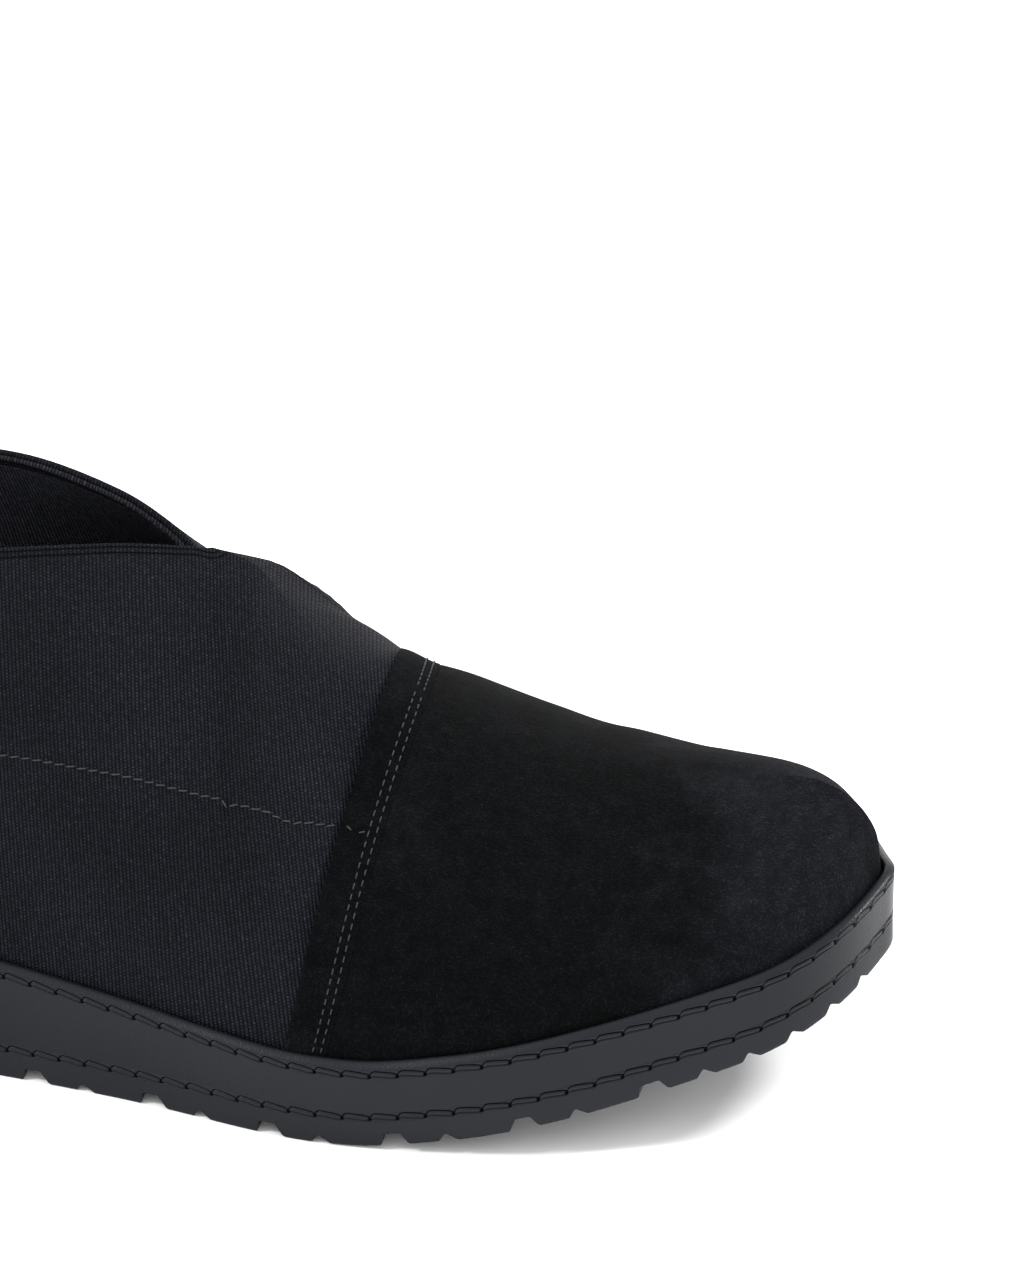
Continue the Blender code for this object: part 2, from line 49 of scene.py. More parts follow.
ARCH_RISE = 0.0015
TREAD = 0.0041
RIM_WIDTH = 0.0018
COLLAR_FRONT = 0.0805
SKIN = 0.0013
INSOLE = 0.0032
CLEAR = 0.0003
MM = 0.001

# Sole outline: share of the length from the heel, inner and outer half width (of the ball width).
OUTLINE = (
    (0.0000, 0.000, 0.000), (0.0150, 0.183, 0.183), (0.0460, 0.297, 0.297), (0.0960, 0.360, 0.360),
    (0.1730, 0.377, 0.383), (0.2690, 0.360, 0.389), (0.3650, 0.338, 0.400), (0.4420, 0.335, 0.423),
    (0.5190, 0.364, 0.463), (0.5960, 0.411, 0.503), (0.6730, 0.465, 0.526), (0.7310, 0.473, 0.519),
    (0.7880, 0.462, 0.486), (0.8460, 0.423, 0.425), (0.9040, 0.358, 0.352), (0.9500, 0.298, 0.240),
    (0.9810, 0.204, 0.097), (0.9960, 0.112, -0.023), (1.0000, 0.066, -0.066),
)

# Rim line above the tread: share of the length, share of the heel height.
SOLE_HEIGHT = (
    (0.00, 1.000), (0.15, 0.940), (0.30, 0.810), (0.47, 0.665), (0.55, 0.563), (0.61, 0.488),
    (0.67, 0.442), (0.73, 0.428), (0.82, 0.434), (0.90, 0.422), (1.00, 0.412),
)

# Lift of the tread at the toe: share of the length, share of the toe spring.
TOE_LIFT = (
    (0.00, 0.000), (0.66, 0.000), (0.70, 0.012), (0.76, 0.130), (0.85, 0.420), (0.93, 0.730),
    (1.00, 1.180),
)

# Lift of the tread under the waist: share of the length, share of the arch rise.
ARCH_LIFT = (
    (0.00, 0.0), (0.24, 0.0), (0.34, 1.0), (0.40, 1.0), (0.44, 0.0), (1.00, 0.0),
)

# Upper ends of the ribs: share of the way round from heel to toe, share of the length, half width
# (of the ball width), height (of the collar front), lean in degrees, fullness low, fullness high.
RIB_TOPS = (
    (0.000, 0.0250, 0.000, 1.080, 12.0, 0.55, 0.50),
    (0.060, 0.0330, 0.092, 1.075, 12.0, 0.55, 0.50),
    (0.110, 0.0520, 0.166, 1.065, 12.0, 0.55, 0.50),
    (0.160, 0.0880, 0.229, 1.035, 12.0, 0.55, 0.50),
    (0.220, 0.1460, 0.274, 0.990, 14.0, 0.55, 0.50),
    (0.300, 0.2310, 0.297, 0.950, 16.0, 0.55, 0.50),
    (0.380, 0.3230, 0.280, 0.965, 20.0, 0.55, 0.45),
    (0.450, 0.4080, 0.230, 1.010, 25.0, 0.52, 0.40),
    (0.510, 0.4770, 0.178, 1.027, 32.0, 0.50, 0.38),
    (0.560, 0.5380, 0.100, 1.010, 42.0, 0.47, 0.40),
    (0.600, 0.5760, 0.034, 0.975, 48.0, 0.46, 0.42),
    (0.625, 0.5940, 0.000, 0.948, 60.0, 0.45, 0.42),
    (0.650, 0.6180, 0.000, 0.926, 74.0, 0.44, 0.38),
    (0.670, 0.6420, 0.000, 0.840, 84.0, 0.44, 0.36),
    (0.700, 0.6780, 0.000, 0.737, 90.0, 0.43, 0.36),
    (0.735, 0.7130, 0.000, 0.702, 90.0, 0.42, 0.40),
    (0.770, 0.7520, 0.000, 0.657, 90.0, 0.42, 0.42),
    (0.810, 0.7960, 0.000, 0.607, 90.0, 0.44, 0.45),
    (0.860, 0.8540, 0.000, 0.580, 90.0, 0.48, 0.40),
    (0.930, 0.9100, 0.000, 0.583, 90.0, 0.55, 0.54),
    (1.000, 0.9400, 0.000, 0.590, 90.0, 0.60, 0.62),
)
OPEN_SHARE = 0.625

# Ridge and collar middle: share of the length, shift to the inner side (of the ball width).
RIDGE_SHIFT = (
    (0.00, 0.000), (0.25, 0.000), (0.48, 0.000), (0.58, -0.003), (0.66, 0.006), (0.75, 0.040),
    (1.00, 0.042),
)

# Seams seen from the inner side: height (of the collar front), share of the length.
STRIP_SEAM = (
    (0.00, 0.650), (0.24, 0.668), (0.50, 0.684), (0.80, 0.708), (1.30, 0.748),
)
COUNTER_SEAM = (
    (0.00, 0.352), (0.30, 0.340), (0.65, 0.285), (1.00, 0.225), (1.30, 0.180),
)
STRIP_WIDTH = 0.0068
STRIP_STEP = 0.0006
STRIP_TIP = 0.0012

# Top edge of the inner band from above: share of the length, shift to the inner side.
BAND_EDGE = (
    (0.05, 0.120), (0.58, 0.010), (0.60, -0.004), (0.615, -0.030), (0.63, -0.100), (0.65, -0.190),
    (0.68, -0.300), (0.72, -0.430), (0.80, -0.640),
)

# Where the small steps of the skin start and end: shares of the way round or up a rib.
BAND_CLIMB_ROUND = (OPEN_SHARE - 0.07, OPEN_SHARE - 0.01)
BAND_CLIMB_UP = (0.72, 0.93)
VAMP_CLIMB_UP = (0.12, 0.35)
TIP_FADE_ROUND = (0.74, 0.80)
TIP_CLIMB_UP = (0.55, 0.95)
LINING_THINS_UP = (0.3, 0.95)

# Where the skin's directions turn to that of the tip, at the front end of the ridge.
TIP_ROUND = (0.96, 1.0)
TIP_UP = (0.75, 0.95)
TIP_NORMAL = (-0.077, 0.0, 0.997)

# Tread notches, as in the part's source, with the corners of the lugs broken.
NOTCH_REACH = 0.0100
NOTCH_START = 0.0030
WIDE_NOTCH = 0.0044
WIDE_DEPTH = 0.0021
SMALL_NOTCH = 0.0030
SMALL_DEPTH = 0.0014
FIRST_WIDE = 0.1223
WIDE_STEP = 0.0657
WIDE_COUNT = 12
BESIDE_WIDE = 0.0271
SMALL_STEP = 0.0234
END_ROOM = 0.20
ROOM_GAIN = 3.0

# Notch outlines: share of the width toward the toe, share of the depth.
WIDE_FORM = (
    (-0.62, -1.0), (-0.60, 0.0), (-0.53, 0.06), (-0.49, 0.20), (-0.46, 0.86), (-0.42, 0.97), (-0.34, 1.0),
    (0.06, 1.0), (0.14, 0.95), (0.40, 0.20), (0.50, 0.05), (0.62, 0.0), (0.64, -1.0),
)
SMALL_FORM = (
    (-0.66, -1.0), (-0.62, 0.0), (-0.52, 0.08), (-0.45, 0.25), (-0.26, 0.90), (-0.19, 1.0), (-0.12, 0.97),
    (0.40, 0.16), (0.52, 0.04), (0.66, 0.0), (0.70, -1.0),
)

# Thicknesses and steps of the visible pieces, and the radii of their edges.
BAND_THICK = 0.95 * MM
BAND_OVER = 1.10 * MM
BAND_ROUND = 0.35 * MM
LINING_OUT = 1.0 * MM
LINING_THIN = 0.9 * MM
LINING_THICK = 2.1 * MM
LINING_ROUND = 0.3 * MM
STRIP_BASE = 0.08 * MM
STRIP_PROUD = 0.40 * MM
STRIP_ROUND = 0.3 * MM
VAMP_ROUND = 0.5 * MM
COUNTER_OUT = 0.35 * MM
COUNTER_ROUND = 0.45 * MM
BED_INSET = 4.6 * MM
BED_CUP = 1.0 * MM
BED_CUP_WIDTH = 20 * MM

# How far a piece reaches under the one beside it, and the usual length of a rib, which spaces
# the points along it.
UNDER_COUNTER = 1.0 * MM
UNDER_STRIP = 1.2 * MM
UNDER_VAMP = 0.3 * MM
RIB_LENGTH = 70 * MM

# Elastic weave in millimetres, then the sewing: rows of thread down the strip in millimetres
# from its rear edge, lengths from stitch to stitch, and where the band's row crosses the strip.
RIB_PITCH = 0.56
CELL_PITCH = 0.48
STRIP_ROWS = (4.5, 5.7)
STRIP_STITCH = 1.60 * MM
SIDE_STITCH = 1.70 * MM
JOG_RISE = 0.535
JOG_DIP = 0.012
STRIP_THREAD_LIFT = 0.02 * MM
BAND_THREAD_LIFT = 0.03 * MM
THREAD_SLANT = 0.22

# Thread along a band: share of its length from the heel piece, share up the rib.
THREAD_LINE = (
    (0.00, 0.465), (0.30, 0.465), (0.50, 0.495), (0.62, 0.498), (0.72, 0.504), (0.76, 0.505),
    (0.80, 0.499), (0.86, 0.486), (0.90, 0.473), (0.94, 0.483), (0.98, 0.508), (1.00, 0.523),
)

# Rim and side of the sole: inset and height over the rim line, in millimetres.
RIM_PROFILE = (
    (1.80, 0.00), (1.80, 2.30), (1.70, 2.50), (1.48, 2.60), (1.20, 2.55), (0.80, 2.30),
    (0.45, 2.00), (0.23, 1.79), (0.15, 1.67), (0.95, 1.67), (0.95, 0.07), (0.15, 0.07),
)

# Lower slot of the side: inset and height over the top of the tread, in millimetres.
LOWER_SLOT = (
    (0.15, 1.70), (0.95, 1.70), (0.95, 0.11),
)

# Side of the tread: inset and height over its top, then inset and height over its underside.
TREAD_UPPER = (
    (1.50, 0.10), (0.15, 0.10), (0.12, -0.40),
)
TREAD_LOWER = (
    (0.04, 1.00), (0.04, 0.35), (0.12, 0.10), (0.35, 0.00),
)

# Moulded stitches: number on each half, height of the two rows' middles, half height of the
# strip that carries a row, depth of its back, and inset of its face, in millimetres.
MOULDED_COUNT = 70
UPPER_ROW = 0.87 * MM
LOWER_ROW = 0.90 * MM
ROW_HALF = 0.80
ROW_BACK = 0.75
SIDE_INSET = 0.15

# One moulded stitch: share of its length, rise of its middle, half height, depth of its face.
MOULDED_FORM = (
    (0.000, -0.30, 0.24, 0.45), (0.025, -0.24, 0.25, 0.42), (0.050, -0.13, 0.27, 0.16),
    (0.080, 0.00, 0.30, 0.02), (0.120, 0.12, 0.32, -0.03), (0.170, 0.19, 0.33, -0.05),
    (0.240, 0.20, 0.33, -0.05), (0.330, 0.17, 0.33, -0.05), (0.450, 0.11, 0.33, -0.05),
    (0.570, 0.04, 0.33, -0.05), (0.690, -0.03, 0.33, -0.05), (0.800, -0.10, 0.32, -0.04),
    (0.870, -0.15, 0.31, -0.02), (0.920, -0.19, 0.30, 0.02), (0.955, -0.23, 0.28, 0.15),
    (0.980, -0.27, 0.26, 0.40),
)

# Rows across a moulded stitch: how many half heights from its middle, further shift in
# millimetres, depth, and whether the row follows the face.
MOULDED_ACROSS = (
    (1, 0.26, 0.00, 0), (1, 0.15, 0.42, 0), (1, 0.04, 0.30, 1), (1, -0.08, 0.00, 1),
    (0, 0.00, 0.00, 1), (-1, 0.08, 0.00, 1), (-1, -0.04, 0.30, 1), (-1, -0.15, 0.42, 0),
    (-1, -0.26, 0.00, 0),
)

# Share of a rib or of the way round used to measure a direction, and the number of steps that a
# row of the sole's outline is cut into.
PROBE = 0.004
FINE_STEPS = 24

# Camera: frame in pixels, turn and drop in degrees, focal length in pixels, then a point of the
# floor in millimetres, the pixel it is seen at and its depth in metres.
FRAME_PIXELS = (1024, 1280)
CAMERA_TURN = 9.0
CAMERA_DROP = 29.0
FOCAL_PIXELS = 6030.0
CAMERA_GROUND = (60.3, -42.15, 0.0)
GROUND_PIXEL = (400, 1146)
CAMERA_DISTANCE = 0.900
SENSOR = 36.0

# Floor, light of the pale surroundings, what the soft lamps point at, and the lamps: name,
# place, size in metres, power in watts.
FLOOR_REACH = 6.0
FLOOR_GREY = 0.92
WORLD_LIGHT = 1.40
LAMP_TARGET = (0.0, 0.0, 0.03)
LAMPS = (
    ("left_softbox", (-1.0, -0.42, 1.20), 0.30, 15.0),
    ("right_softbox", (1.0, 0.33, 1.05), 0.30, 17.0),
)


# Smooth curve through the rows of a table, with slopes that never overshoot.
def curve(table, column):
    xs = np.array([row[0] for row in table])
    ys = np.array([row[column] for row in table])
    steps = np.diff(xs)
    rises = np.diff(ys) / steps
    slopes = np.zeros(len(xs))
    slopes[0], slopes[-1] = rises[0], rises[-1]
    for k in range(1, len(xs) - 1):
        if rises[k - 1] * rises[k] > 0:
            before = 2 * steps[k] + steps[k - 1]
            after = steps[k] + 2 * steps[k - 1]
            slopes[k] = (before + after) / (before / rises[k - 1] + after / rises[k])

    def value(x):
        x = np.clip(x, xs[0], xs[-1])
        k = np.clip(np.searchsorted(xs, x, side="right") - 1, 0, len(xs) - 2)
        t = (x - xs[k]) / steps[k]
        low = ys[k] * (1 + 2 * t) * (1 - t) ** 2 + slopes[k] * steps[k] * t * (1 - t) ** 2
        high = ys[k + 1] * t * t * (3 - 2 * t) + slopes[k + 1] * steps[k] * t * t * (t - 1)
        return low + high

    return value


def unit(rows):
    return rows / np.linalg.norm(rows, axis=-1, keepdims=True)


# Closed smooth outline of the sole, cut into an inner and an outer half from heel to toe.
def outline_halves():
    inner = [(row[0] * LENGTH, -row[1] * BALL_WIDTH) for row in OUTLINE]
    outer = [(row[0] * LENGTH, row[2] * BALL_WIDTH) for row in OUTLINE[-2:0:-1]]
    points = np.array(inner + outer)
    count = len(points)
    ring = np.vstack([points, points[:1]])
    chords = np.linalg.norm(np.diff(ring, axis=0), axis=1)
    bends = np.zeros((count, count))
    right = np.zeros((count, 2))
    for k in range(count):
        before, after = chords[k - 1], chords[k]
        bends[k, k - 1] = before
        bends[k, k] = 2 * (before + after)
        bends[k, (k + 1) % count] = after
        last = ring[k - 1 if k else -2]
        right[k] = 6 * ((ring[k + 1] - ring[k]) / after - (ring[k] - last) / before)
    second = np.linalg.solve(bends, right)
    fine = []
    for k in range(count):
        nxt = (k + 1) % count
        for b in np.linspace(0, 1, FINE_STEPS, endpoint=False):
            a = 1 - b
            place = a * ring[k] + b * ring[k + 1]
            bend = (a ** 3 - a) * second[k] + (b ** 3 - b) * second[nxt]
            fine.append(place + bend * chords[k] ** 2 / 6)
    fine = np.array(fine + [fine[0]])
    toe = (len(OUTLINE) - 1) * FINE_STEPS
    return fine[: toe + 1], fine[toe:][::-1]


class HalfOutline:
    def __init__(self, points, side):
        self.points = points
        self.side = side
        steps = np.linalg.norm(np.diff(points, axis=0), axis=1)
        self.runs = np.concatenate([[0], np.cumsum(steps)])
        self.length = self.runs[-1]

    def at(self, share):
        run = np.clip(share, 0, 1) * self.length
        return np.stack([np.interp(run, self.runs, self.points[:, axis]) for axis in (0, 1)], -1)

    def inward(self, share):
        share = np.asarray(share, float)
        along = unit(self.at(share + PROBE) - self.at(share - PROBE))
        normal = np.stack([along[..., 1], -along[..., 0]], -1) * self.side
        normal[share <= 0] = (1.0, 0.0)
        normal[share >= 1] = (-1.0, 0.0)
        return normal

    def inset(self, share, depth):
        return self.at(share) + self.inward(share) * depth


INNER, OUTER = -1, 1
inner_points, outer_points = outline_halves()
SIDES = {INNER: HalfOutline(inner_points, INNER), OUTER: HalfOutline(outer_points, OUTER)}
MIDDLE = (outer_points[:, 1].max() + inner_points[:, 1].min()) / 2
SHIFT = np.array([-LENGTH / 2, -MIDDLE, 0.0])

sole_height = curve(SOLE_HEIGHT, 1)
toe_lift = curve(TOE_LIFT, 1)
arch_lift = curve(ARCH_LIFT, 1)
ridge_shift = curve(RIDGE_SHIFT, 1)
rib_curves = [curve(RIB_TOPS, column) for column in range(1, 7)]
top_place, top_width, top_height, top_lean, low_full, high_full = rib_curves


def tread_level(x):
    return TOE_SPRING * toe_lift(x / LENGTH) + ARCH_RISE * arch_lift(x / LENGTH)


def tread_top(x):
    return tread_level(x) + TREAD


def rim_line(x):
    return tread_level(x) + SOLE_HEEL * sole_height(x / LENGTH)


def ridge_line(x):
    return -BALL_WIDTH * ridge_shift(x / LENGTH)


# Upper ends of ribs.
def rib_top(side, share):
    x = LENGTH * top_place(share)
    y = ridge_line(x) + side * BALL_WIDTH * top_width(share)
    return np.stack([x, y, COLLAR_FRONT * top_height(share)], -1)


# Rise of the ridge for each step toward the toe.
def ridge_slope(share):
    middle = np.minimum(share, 1 - PROBE)
    ahead = rib_top(INNER, middle + PROBE)
    behind = rib_top(INNER, middle - PROBE)
    slope = (ahead[..., 2] - behind[..., 2]) / np.maximum(ahead[..., 0] - behind[..., 0], 1e-7)
    return np.where(share > OPEN_SHARE, slope, 0.0)


# Points on the outermost skin of the upper: share round from heel to toe, share up the rib.
def skin(side, share, rise):
    share, rise = np.broadcast_arrays(np.asarray(share, float), np.asarray(rise, float))
    base_xy = SIDES[side].inset(share, RIM_WIDTH + CLEAR)
    base = np.concatenate([base_xy, (rim_line(base_xy[..., 0]) + CLEAR)[..., None]], -1)
    top = rib_top(side, share)
    across = top[..., :2] - base[..., :2]
    width = np.linalg.norm(across, axis=-1)
    across = across / np.maximum(width, 1e-6)[..., None]
    tall = top[..., 2] - base[..., 2]
    lean = np.radians(top_lean(share))
    tip = np.cos(lean) + ridge_slope(share) * across[..., 0] * np.sin(lean)
    finish = np.concatenate([across * np.sin(lean)[..., None], tip[..., None]], -1)
    low = base.copy()
    low[..., 2] += low_full(share) * tall
    reach = high_full(share) * (width * np.sin(lean) + tall * np.cos(lean))
    high = top - finish * reach[..., None]
    t = rise[..., None]
    s = 1 - t
    return s ** 3 * base + 3 * s * s * t * low + 3 * s * t * t * high + t ** 3 * top


def skin_normals(side, share, rise):
    share, rise = np.broadcast_arrays(np.asarray(share, float), np.asarray(rise, float))
    low_rise = np.minimum(rise, 1 - PROBE / 10)
    ahead, behind = np.minimum(share + PROBE, 1), np.maximum(share - PROBE, 0)
    above, below = np.minimum(low_rise + PROBE, 1), np.maximum(low_rise - PROBE, 0)
    along = skin(side, ahead, low_rise) - skin(side, behind, low_rise)
    up = skin(side, share, above) - skin(side, share, below)
    normal = np.cross(along, up) * -side
    slope = ridge_slope(share)
    crest = np.stack([-slope, np.zeros_like(slope), np.ones_like(slope)], -1)
    on_ridge = (rise > 1 - 1e-6) & (share > OPEN_SHARE + 1e-6)
    normal = np.where(on_ridge[..., None], crest, normal)
    normal[..., 2] = np.where(rise < 1e-6, 0.0, normal[..., 2])
    return unit(normal)


def smooth_step(value, low, high):
    t = np.clip((np.asarray(value, float) - low) / (high - low), 0.0, 1.0)
    return t * t * (3 - 2 * t)


# Steps from 0 to 1, closer together at both ends so that edges can be rounded.
def close_ends(count, length, edge=(0.15 * MM, 0.4 * MM, 0.8 * MM)):
    ends = np.array([0.0, *edge]) / length
    middle = np.linspace(edge[-1] / length, 1 - edge[-1] / length, count)[1:-1]
    return np.concatenate([ends, middle, 1 - ends[::-1]])


# Share of the way round where a rib meets a seam seen from the side, for each rise.
def seam_share(side, rises, table, shift=0.0):
    along = curve(table, 1)
    shares = np.linspace(0.12, 0.98, 1200)
    found = []
    for rise in rises:
        points = skin(side, shares, rise)
        past = points[:, 0] - (LENGTH * along(points[:, 2] / COLLAR_FRONT) + shift)
        k = int(np.argmax(past > 0))
        t = past[k - 1] / (past[k - 1] - past[k])
        found.append(shares[k - 1] + t * (shares[k] - shares[k - 1]))
    return np.array(found)


# One patch of skin: its points, outward directions, places on the cloth and the turn of its faces.
class Patch:
    def __init__(self, side, share, rise, cloth):
        self.side, self.share, self.rise = side, share, rise
        self.points = skin(side, share, rise)
        tip = (smooth_step(share, *TIP_ROUND) * smooth_step(rise, *TIP_UP))[..., None]
        self.normals = skin_normals(side, share, rise) * (1 - tip) + np.array(TIP_NORMAL) * tip
        self.cloth = cloth
        self.turned = side == OUTER


# Closed shell from patches of skin between an outer and an inner offset, joined where they meet.
# rounding is the radius of its free edges.
def shell(name, finish, patches, outer_offset, inner_offset, rounding):
    points, normals, cloth, outers, inners, quads = [], [], [], [], [], []
    start = 0
    for patch in patches:
        rows, columns = patch.share.shape
        numbers = start + np.arange(rows * columns).reshape(rows, columns)
        a, b, c, d = numbers[:-1, :-1], numbers[1:, :-1], numbers[1:, 1:], numbers[:-1, 1:]
        quad = np.stack([a, b, c, d], -1).reshape(-1, 4)
        quads.append(quad[:, ::-1] if patch.turned else quad)
        points.append(patch.points.reshape(-1, 3))
        normals.append(patch.normals.reshape(-1, 3))
        cloth.append(patch.cloth.reshape(-1, 2))
        outers.append(np.broadcast_to(outer_offset(patch), patch.share.shape).reshape(-1))
        inners.append(np.broadcast_to(inner_offset(patch), patch.share.shape).reshape(-1))
        start += rows * columns
    points, normals, cloth = np.vstack(points), np.vstack(normals), np.vstack(cloth)
    outers, inners, quads = np.concatenate(outers), np.concatenate(inners), np.vstack(quads)
    keys = np.round(points / (0.01 * MM)).astype(np.int64)
    _, first, owner = np.unique(keys, axis=0, return_index=True, return_inverse=True)
    owner = owner.reshape(-1)
    count = len(first)
    joined = np.zeros((count, 3))
    np.add.at(joined, owner, normals)
    joined = unit(joined)
    points, cloth, outers, inners = points[first], cloth[first], outers[first], inners[first]
    quads = owner[quads]
    rings = [[int(v) for k, v in enumerate(quad) if v != quad[k - 1]] for quad in quads]
    edges = {}
    for ring in rings:
        for u, v in zip(ring, ring[1:] + ring[:1]):
            if (v, u) in edges:
                del edges[(v, u)]
            else:
                edges[(u, v)] = True
    border = np.array(sorted({v for pair in edges for v in pair}))
    outers = outers - rounding * edge_drop(points, points[border], rounding)
    solid = np.vstack([points + joined * outers[:, None], points + joined * inners[:, None]])
    faces = []
    for ring in rings:
        if len(ring) > 2:
            faces.append(ring)
            faces.append([v + count for v in reversed(ring)])
    faces += [[v, u, u + count, v + count] for u, v in edges]
    return new_piece(name, solid, faces, np.vstack([cloth, cloth]), finish)


# Share of the rounding lost at each point, from its distance to the nearest border point.
def edge_drop(points, border, rounding):
    drop = np.zeros(len(points))
    for start in range(0, len(points), 4000):
        part = points[start:start + 4000]
        gap = np.full(len(part), 1.0)
        for low in range(0, len(border), 600):
            away = np.linalg.norm(part[:, None] - border[None, low:low + 600], axis=2).min(1)
            gap = np.minimum(gap, away)
        near = np.clip(1 - gap / rounding, 0, 1)
        drop[start:start + 4000] = 1 - np.sqrt(1 - near ** 2)
    return drop


def add_object(name, data):
    made = bpy.data.objects.new(name, data)
    bpy.context.scene.collection.objects.link(made)
    return made


def new_piece(name, points, faces, cloth=None, finish=None):
    mesh = bpy.data.meshes.new(name)
    points = np.asarray(points, float) + SHIFT
    mesh.from_pydata([tuple(p) for p in points], [], [list(f) for f in faces])
    if cloth is not None:
        layer = mesh.uv_layers.new(name="cloth")
        corners = np.zeros(len(mesh.loops), np.int32)
        mesh.loops.foreach_get("vertex_index", corners)
        layer.data.foreach_set("uv", (cloth[corners] / MM / 100).astype(np.float32).reshape(-1))
    mesh.polygons.foreach_set("use_smooth", [True] * len(mesh.polygons))
    mesh.validate()
    if finish:
        mesh.materials.append(finish)
    return add_object(name, mesh)


def run_lengths(points, axis):
    steps = np.linalg.norm(np.diff(points, axis=axis), axis=-1)
    start = np.zeros_like(np.take(steps, [0], axis=axis))
    return np.concatenate([start, np.cumsum(steps, axis=axis)], axis=axis)


# Patch between two seams on one side of the shoe. Columns and rises run from 0 to 1.
# On the cloth, u is the way back from the front edge and v the way up to the top edge, at 0.
def side_patch(side, columns, rises, rear, front, below_top=0.0):
    share = rear[None, :] + (front - rear)[None, :] * columns[:, None]
    rise = np.broadcast_to(rises, share.shape)
    points = skin(side, share, rise)
    back = run_lengths(points, 0)
    up = run_lengths(points, 1)
    u = back[-1:] - back
    v = up - up[:, -1:] - np.reshape(below_top, (-1, 1))
    return Patch(side, share, rise, np.stack([u, v], -1))


def band_climb(patch):
    climb = smooth_step(patch.share, *BAND_CLIMB_ROUND)
    if patch.side == INNER:
        climb = climb * smooth_step(patch.rise, *BAND_CLIMB_UP)
    return BAND_OVER * climb


# The elastic band on the side of the big toe joint. It crosses the ridge and lies on the other one.
def make_inner_band(finish):
    rises = close_ends(64, RIB_LENGTH)
    rear = seam_share(INNER, rises, COUNTER_SEAM, -UNDER_COUNTER)
    front = seam_share(INNER, rises, STRIP_SEAM, UNDER_STRIP)
    open_tops = np.linspace(rear[-1], OPEN_SHARE, 50)
    tops = np.concatenate([open_tops, np.linspace(OPEN_SHARE, front[-1], 34)[1:]])
    columns = (tops - rear[-1]) / (front[-1] - rear[-1])
    # Beyond the ridge the band follows the far side's ribs down to its own edge.
    over = tops[tops >= OPEN_SHARE - 1e-9]
    depths = np.linspace(0.0, 1.0, 400)
    far_front = seam_share(OUTER, depths, STRIP_SEAM, UNDER_STRIP)
    part = (over - OPEN_SHARE) / (over[-1] - OPEN_SHARE)
    share = OPEN_SHARE + (far_front[None, :] - OPEN_SHARE) * part[:, None]
    points = skin(OUTER, share, np.broadcast_to(depths, share.shape))
    edge = curve(BAND_EDGE, 1)
    line = ridge_line(points[..., 0]) - BALL_WIDTH * edge(points[..., 0] / LENGTH)
    beyond = points[..., 1] - line
    lowest = np.array([depths[row > 0][-1] if (row > 0).any() else 0.0 for row in beyond])
    lowest[0] = 1.0
    across = 1 - (1 - lowest)[:, None] * (1 - close_ends(14, 20 * MM))[None, :]
    far = np.array([np.interp(row, depths, far_front) for row in across])
    share = OPEN_SHARE + (far - OPEN_SHARE) * part[:, None]
    points = skin(OUTER, share, across)
    # The cloth is measured from that edge, so the near side starts as far below it as the ridge.
    up = run_lengths(points, 1)
    back = run_lengths(points, 0)
    cloth = np.stack([back[-1:] - back, -up], -1)
    below = np.concatenate([np.zeros(len(tops) - len(over)), up[:, -1]])
    inner = side_patch(INNER, columns, rises, rear, front, below)
    outer = Patch(OUTER, share, across, cloth)

    def inner_face(patch):
        return band_climb(patch) - BAND_THICK

    return shell("inner_elastic", finish, [inner, outer], band_climb, inner_face, BAND_ROUND)


def make_outer_band(finish):
    rises = close_ends(60, RIB_LENGTH)
    rear = seam_share(OUTER, rises, COUNTER_SEAM, -UNDER_COUNTER)
    front = seam_share(OUTER, rises, STRIP_SEAM, UNDER_STRIP)
    patch = side_patch(OUTER, np.linspace(0, 1, 70), rises, rear, front)
    return shell("outer_elastic", finish, [patch], lambda patch: 0.0, lambda patch: -BAND_THICK, BAND_ROUND)


# Inner face of the bands and the lining under the suede, from the rim up to the collar.
def make_lining(finish):
    rises = close_ends(60, RIB_LENGTH)
    shares = np.linspace(0, 1, 150)
    patches = []
    for side in SIDES:
        whole = np.ones_like(rises)
        patches.append(side_patch(side, shares, rises, 0 * whole, whole))

    def inner_face(patch):
        thicker = (LINING_THICK - LINING_THIN) * (1 - smooth_step(patch.rise, *LINING_THINS_UP))
        return -LINING_OUT - LINING_THIN - thicker

    return shell("lining_shell", finish, patches, lambda patch: -LINING_OUT, inner_face, LINING_ROUND)


def tip_lift(patch):
    back = 1 - smooth_step(patch.share, *TIP_FADE_ROUND)
    return STRIP_TIP * back * smooth_step(patch.rise, *TIP_CLIMB_UP)


def suede_step(patch):
    return STRIP_STEP * smooth_step(patch.rise, *VAMP_CLIMB_UP)


# Height of the strip's face over the skin: proud at its raw rear edge, level with the toe piece
# at the front. back is the distance from its front edge.
def strip_height(spot, back):
    rear = smooth_step(back, 0.0, 0.8 * STRIP_WIDTH)
    return suede_step(spot) + STRIP_BASE + (tip_lift(spot) + STRIP_PROUD) * rear


def strip_face(patch):
    return strip_height(patch, patch.cloth[..., 0])


# The narrow suede strip behind the toe piece.
def make_strip(finish):
    rises = close_ends(90, RIB_LENGTH)
    patches = []
    for side in SIDES:
        rear = seam_share(side, rises, STRIP_SEAM, 0.0)
        front = seam_share(side, rises, STRIP_SEAM, STRIP_WIDTH)
        patches.append(side_patch(side, close_ends(14, STRIP_WIDTH), rises, rear, front))

    def inner_face(patch):
        return strip_face(patch) - SKIN

    return shell("strip_of_suede", finish, patches, strip_face, inner_face, STRIP_ROUND)


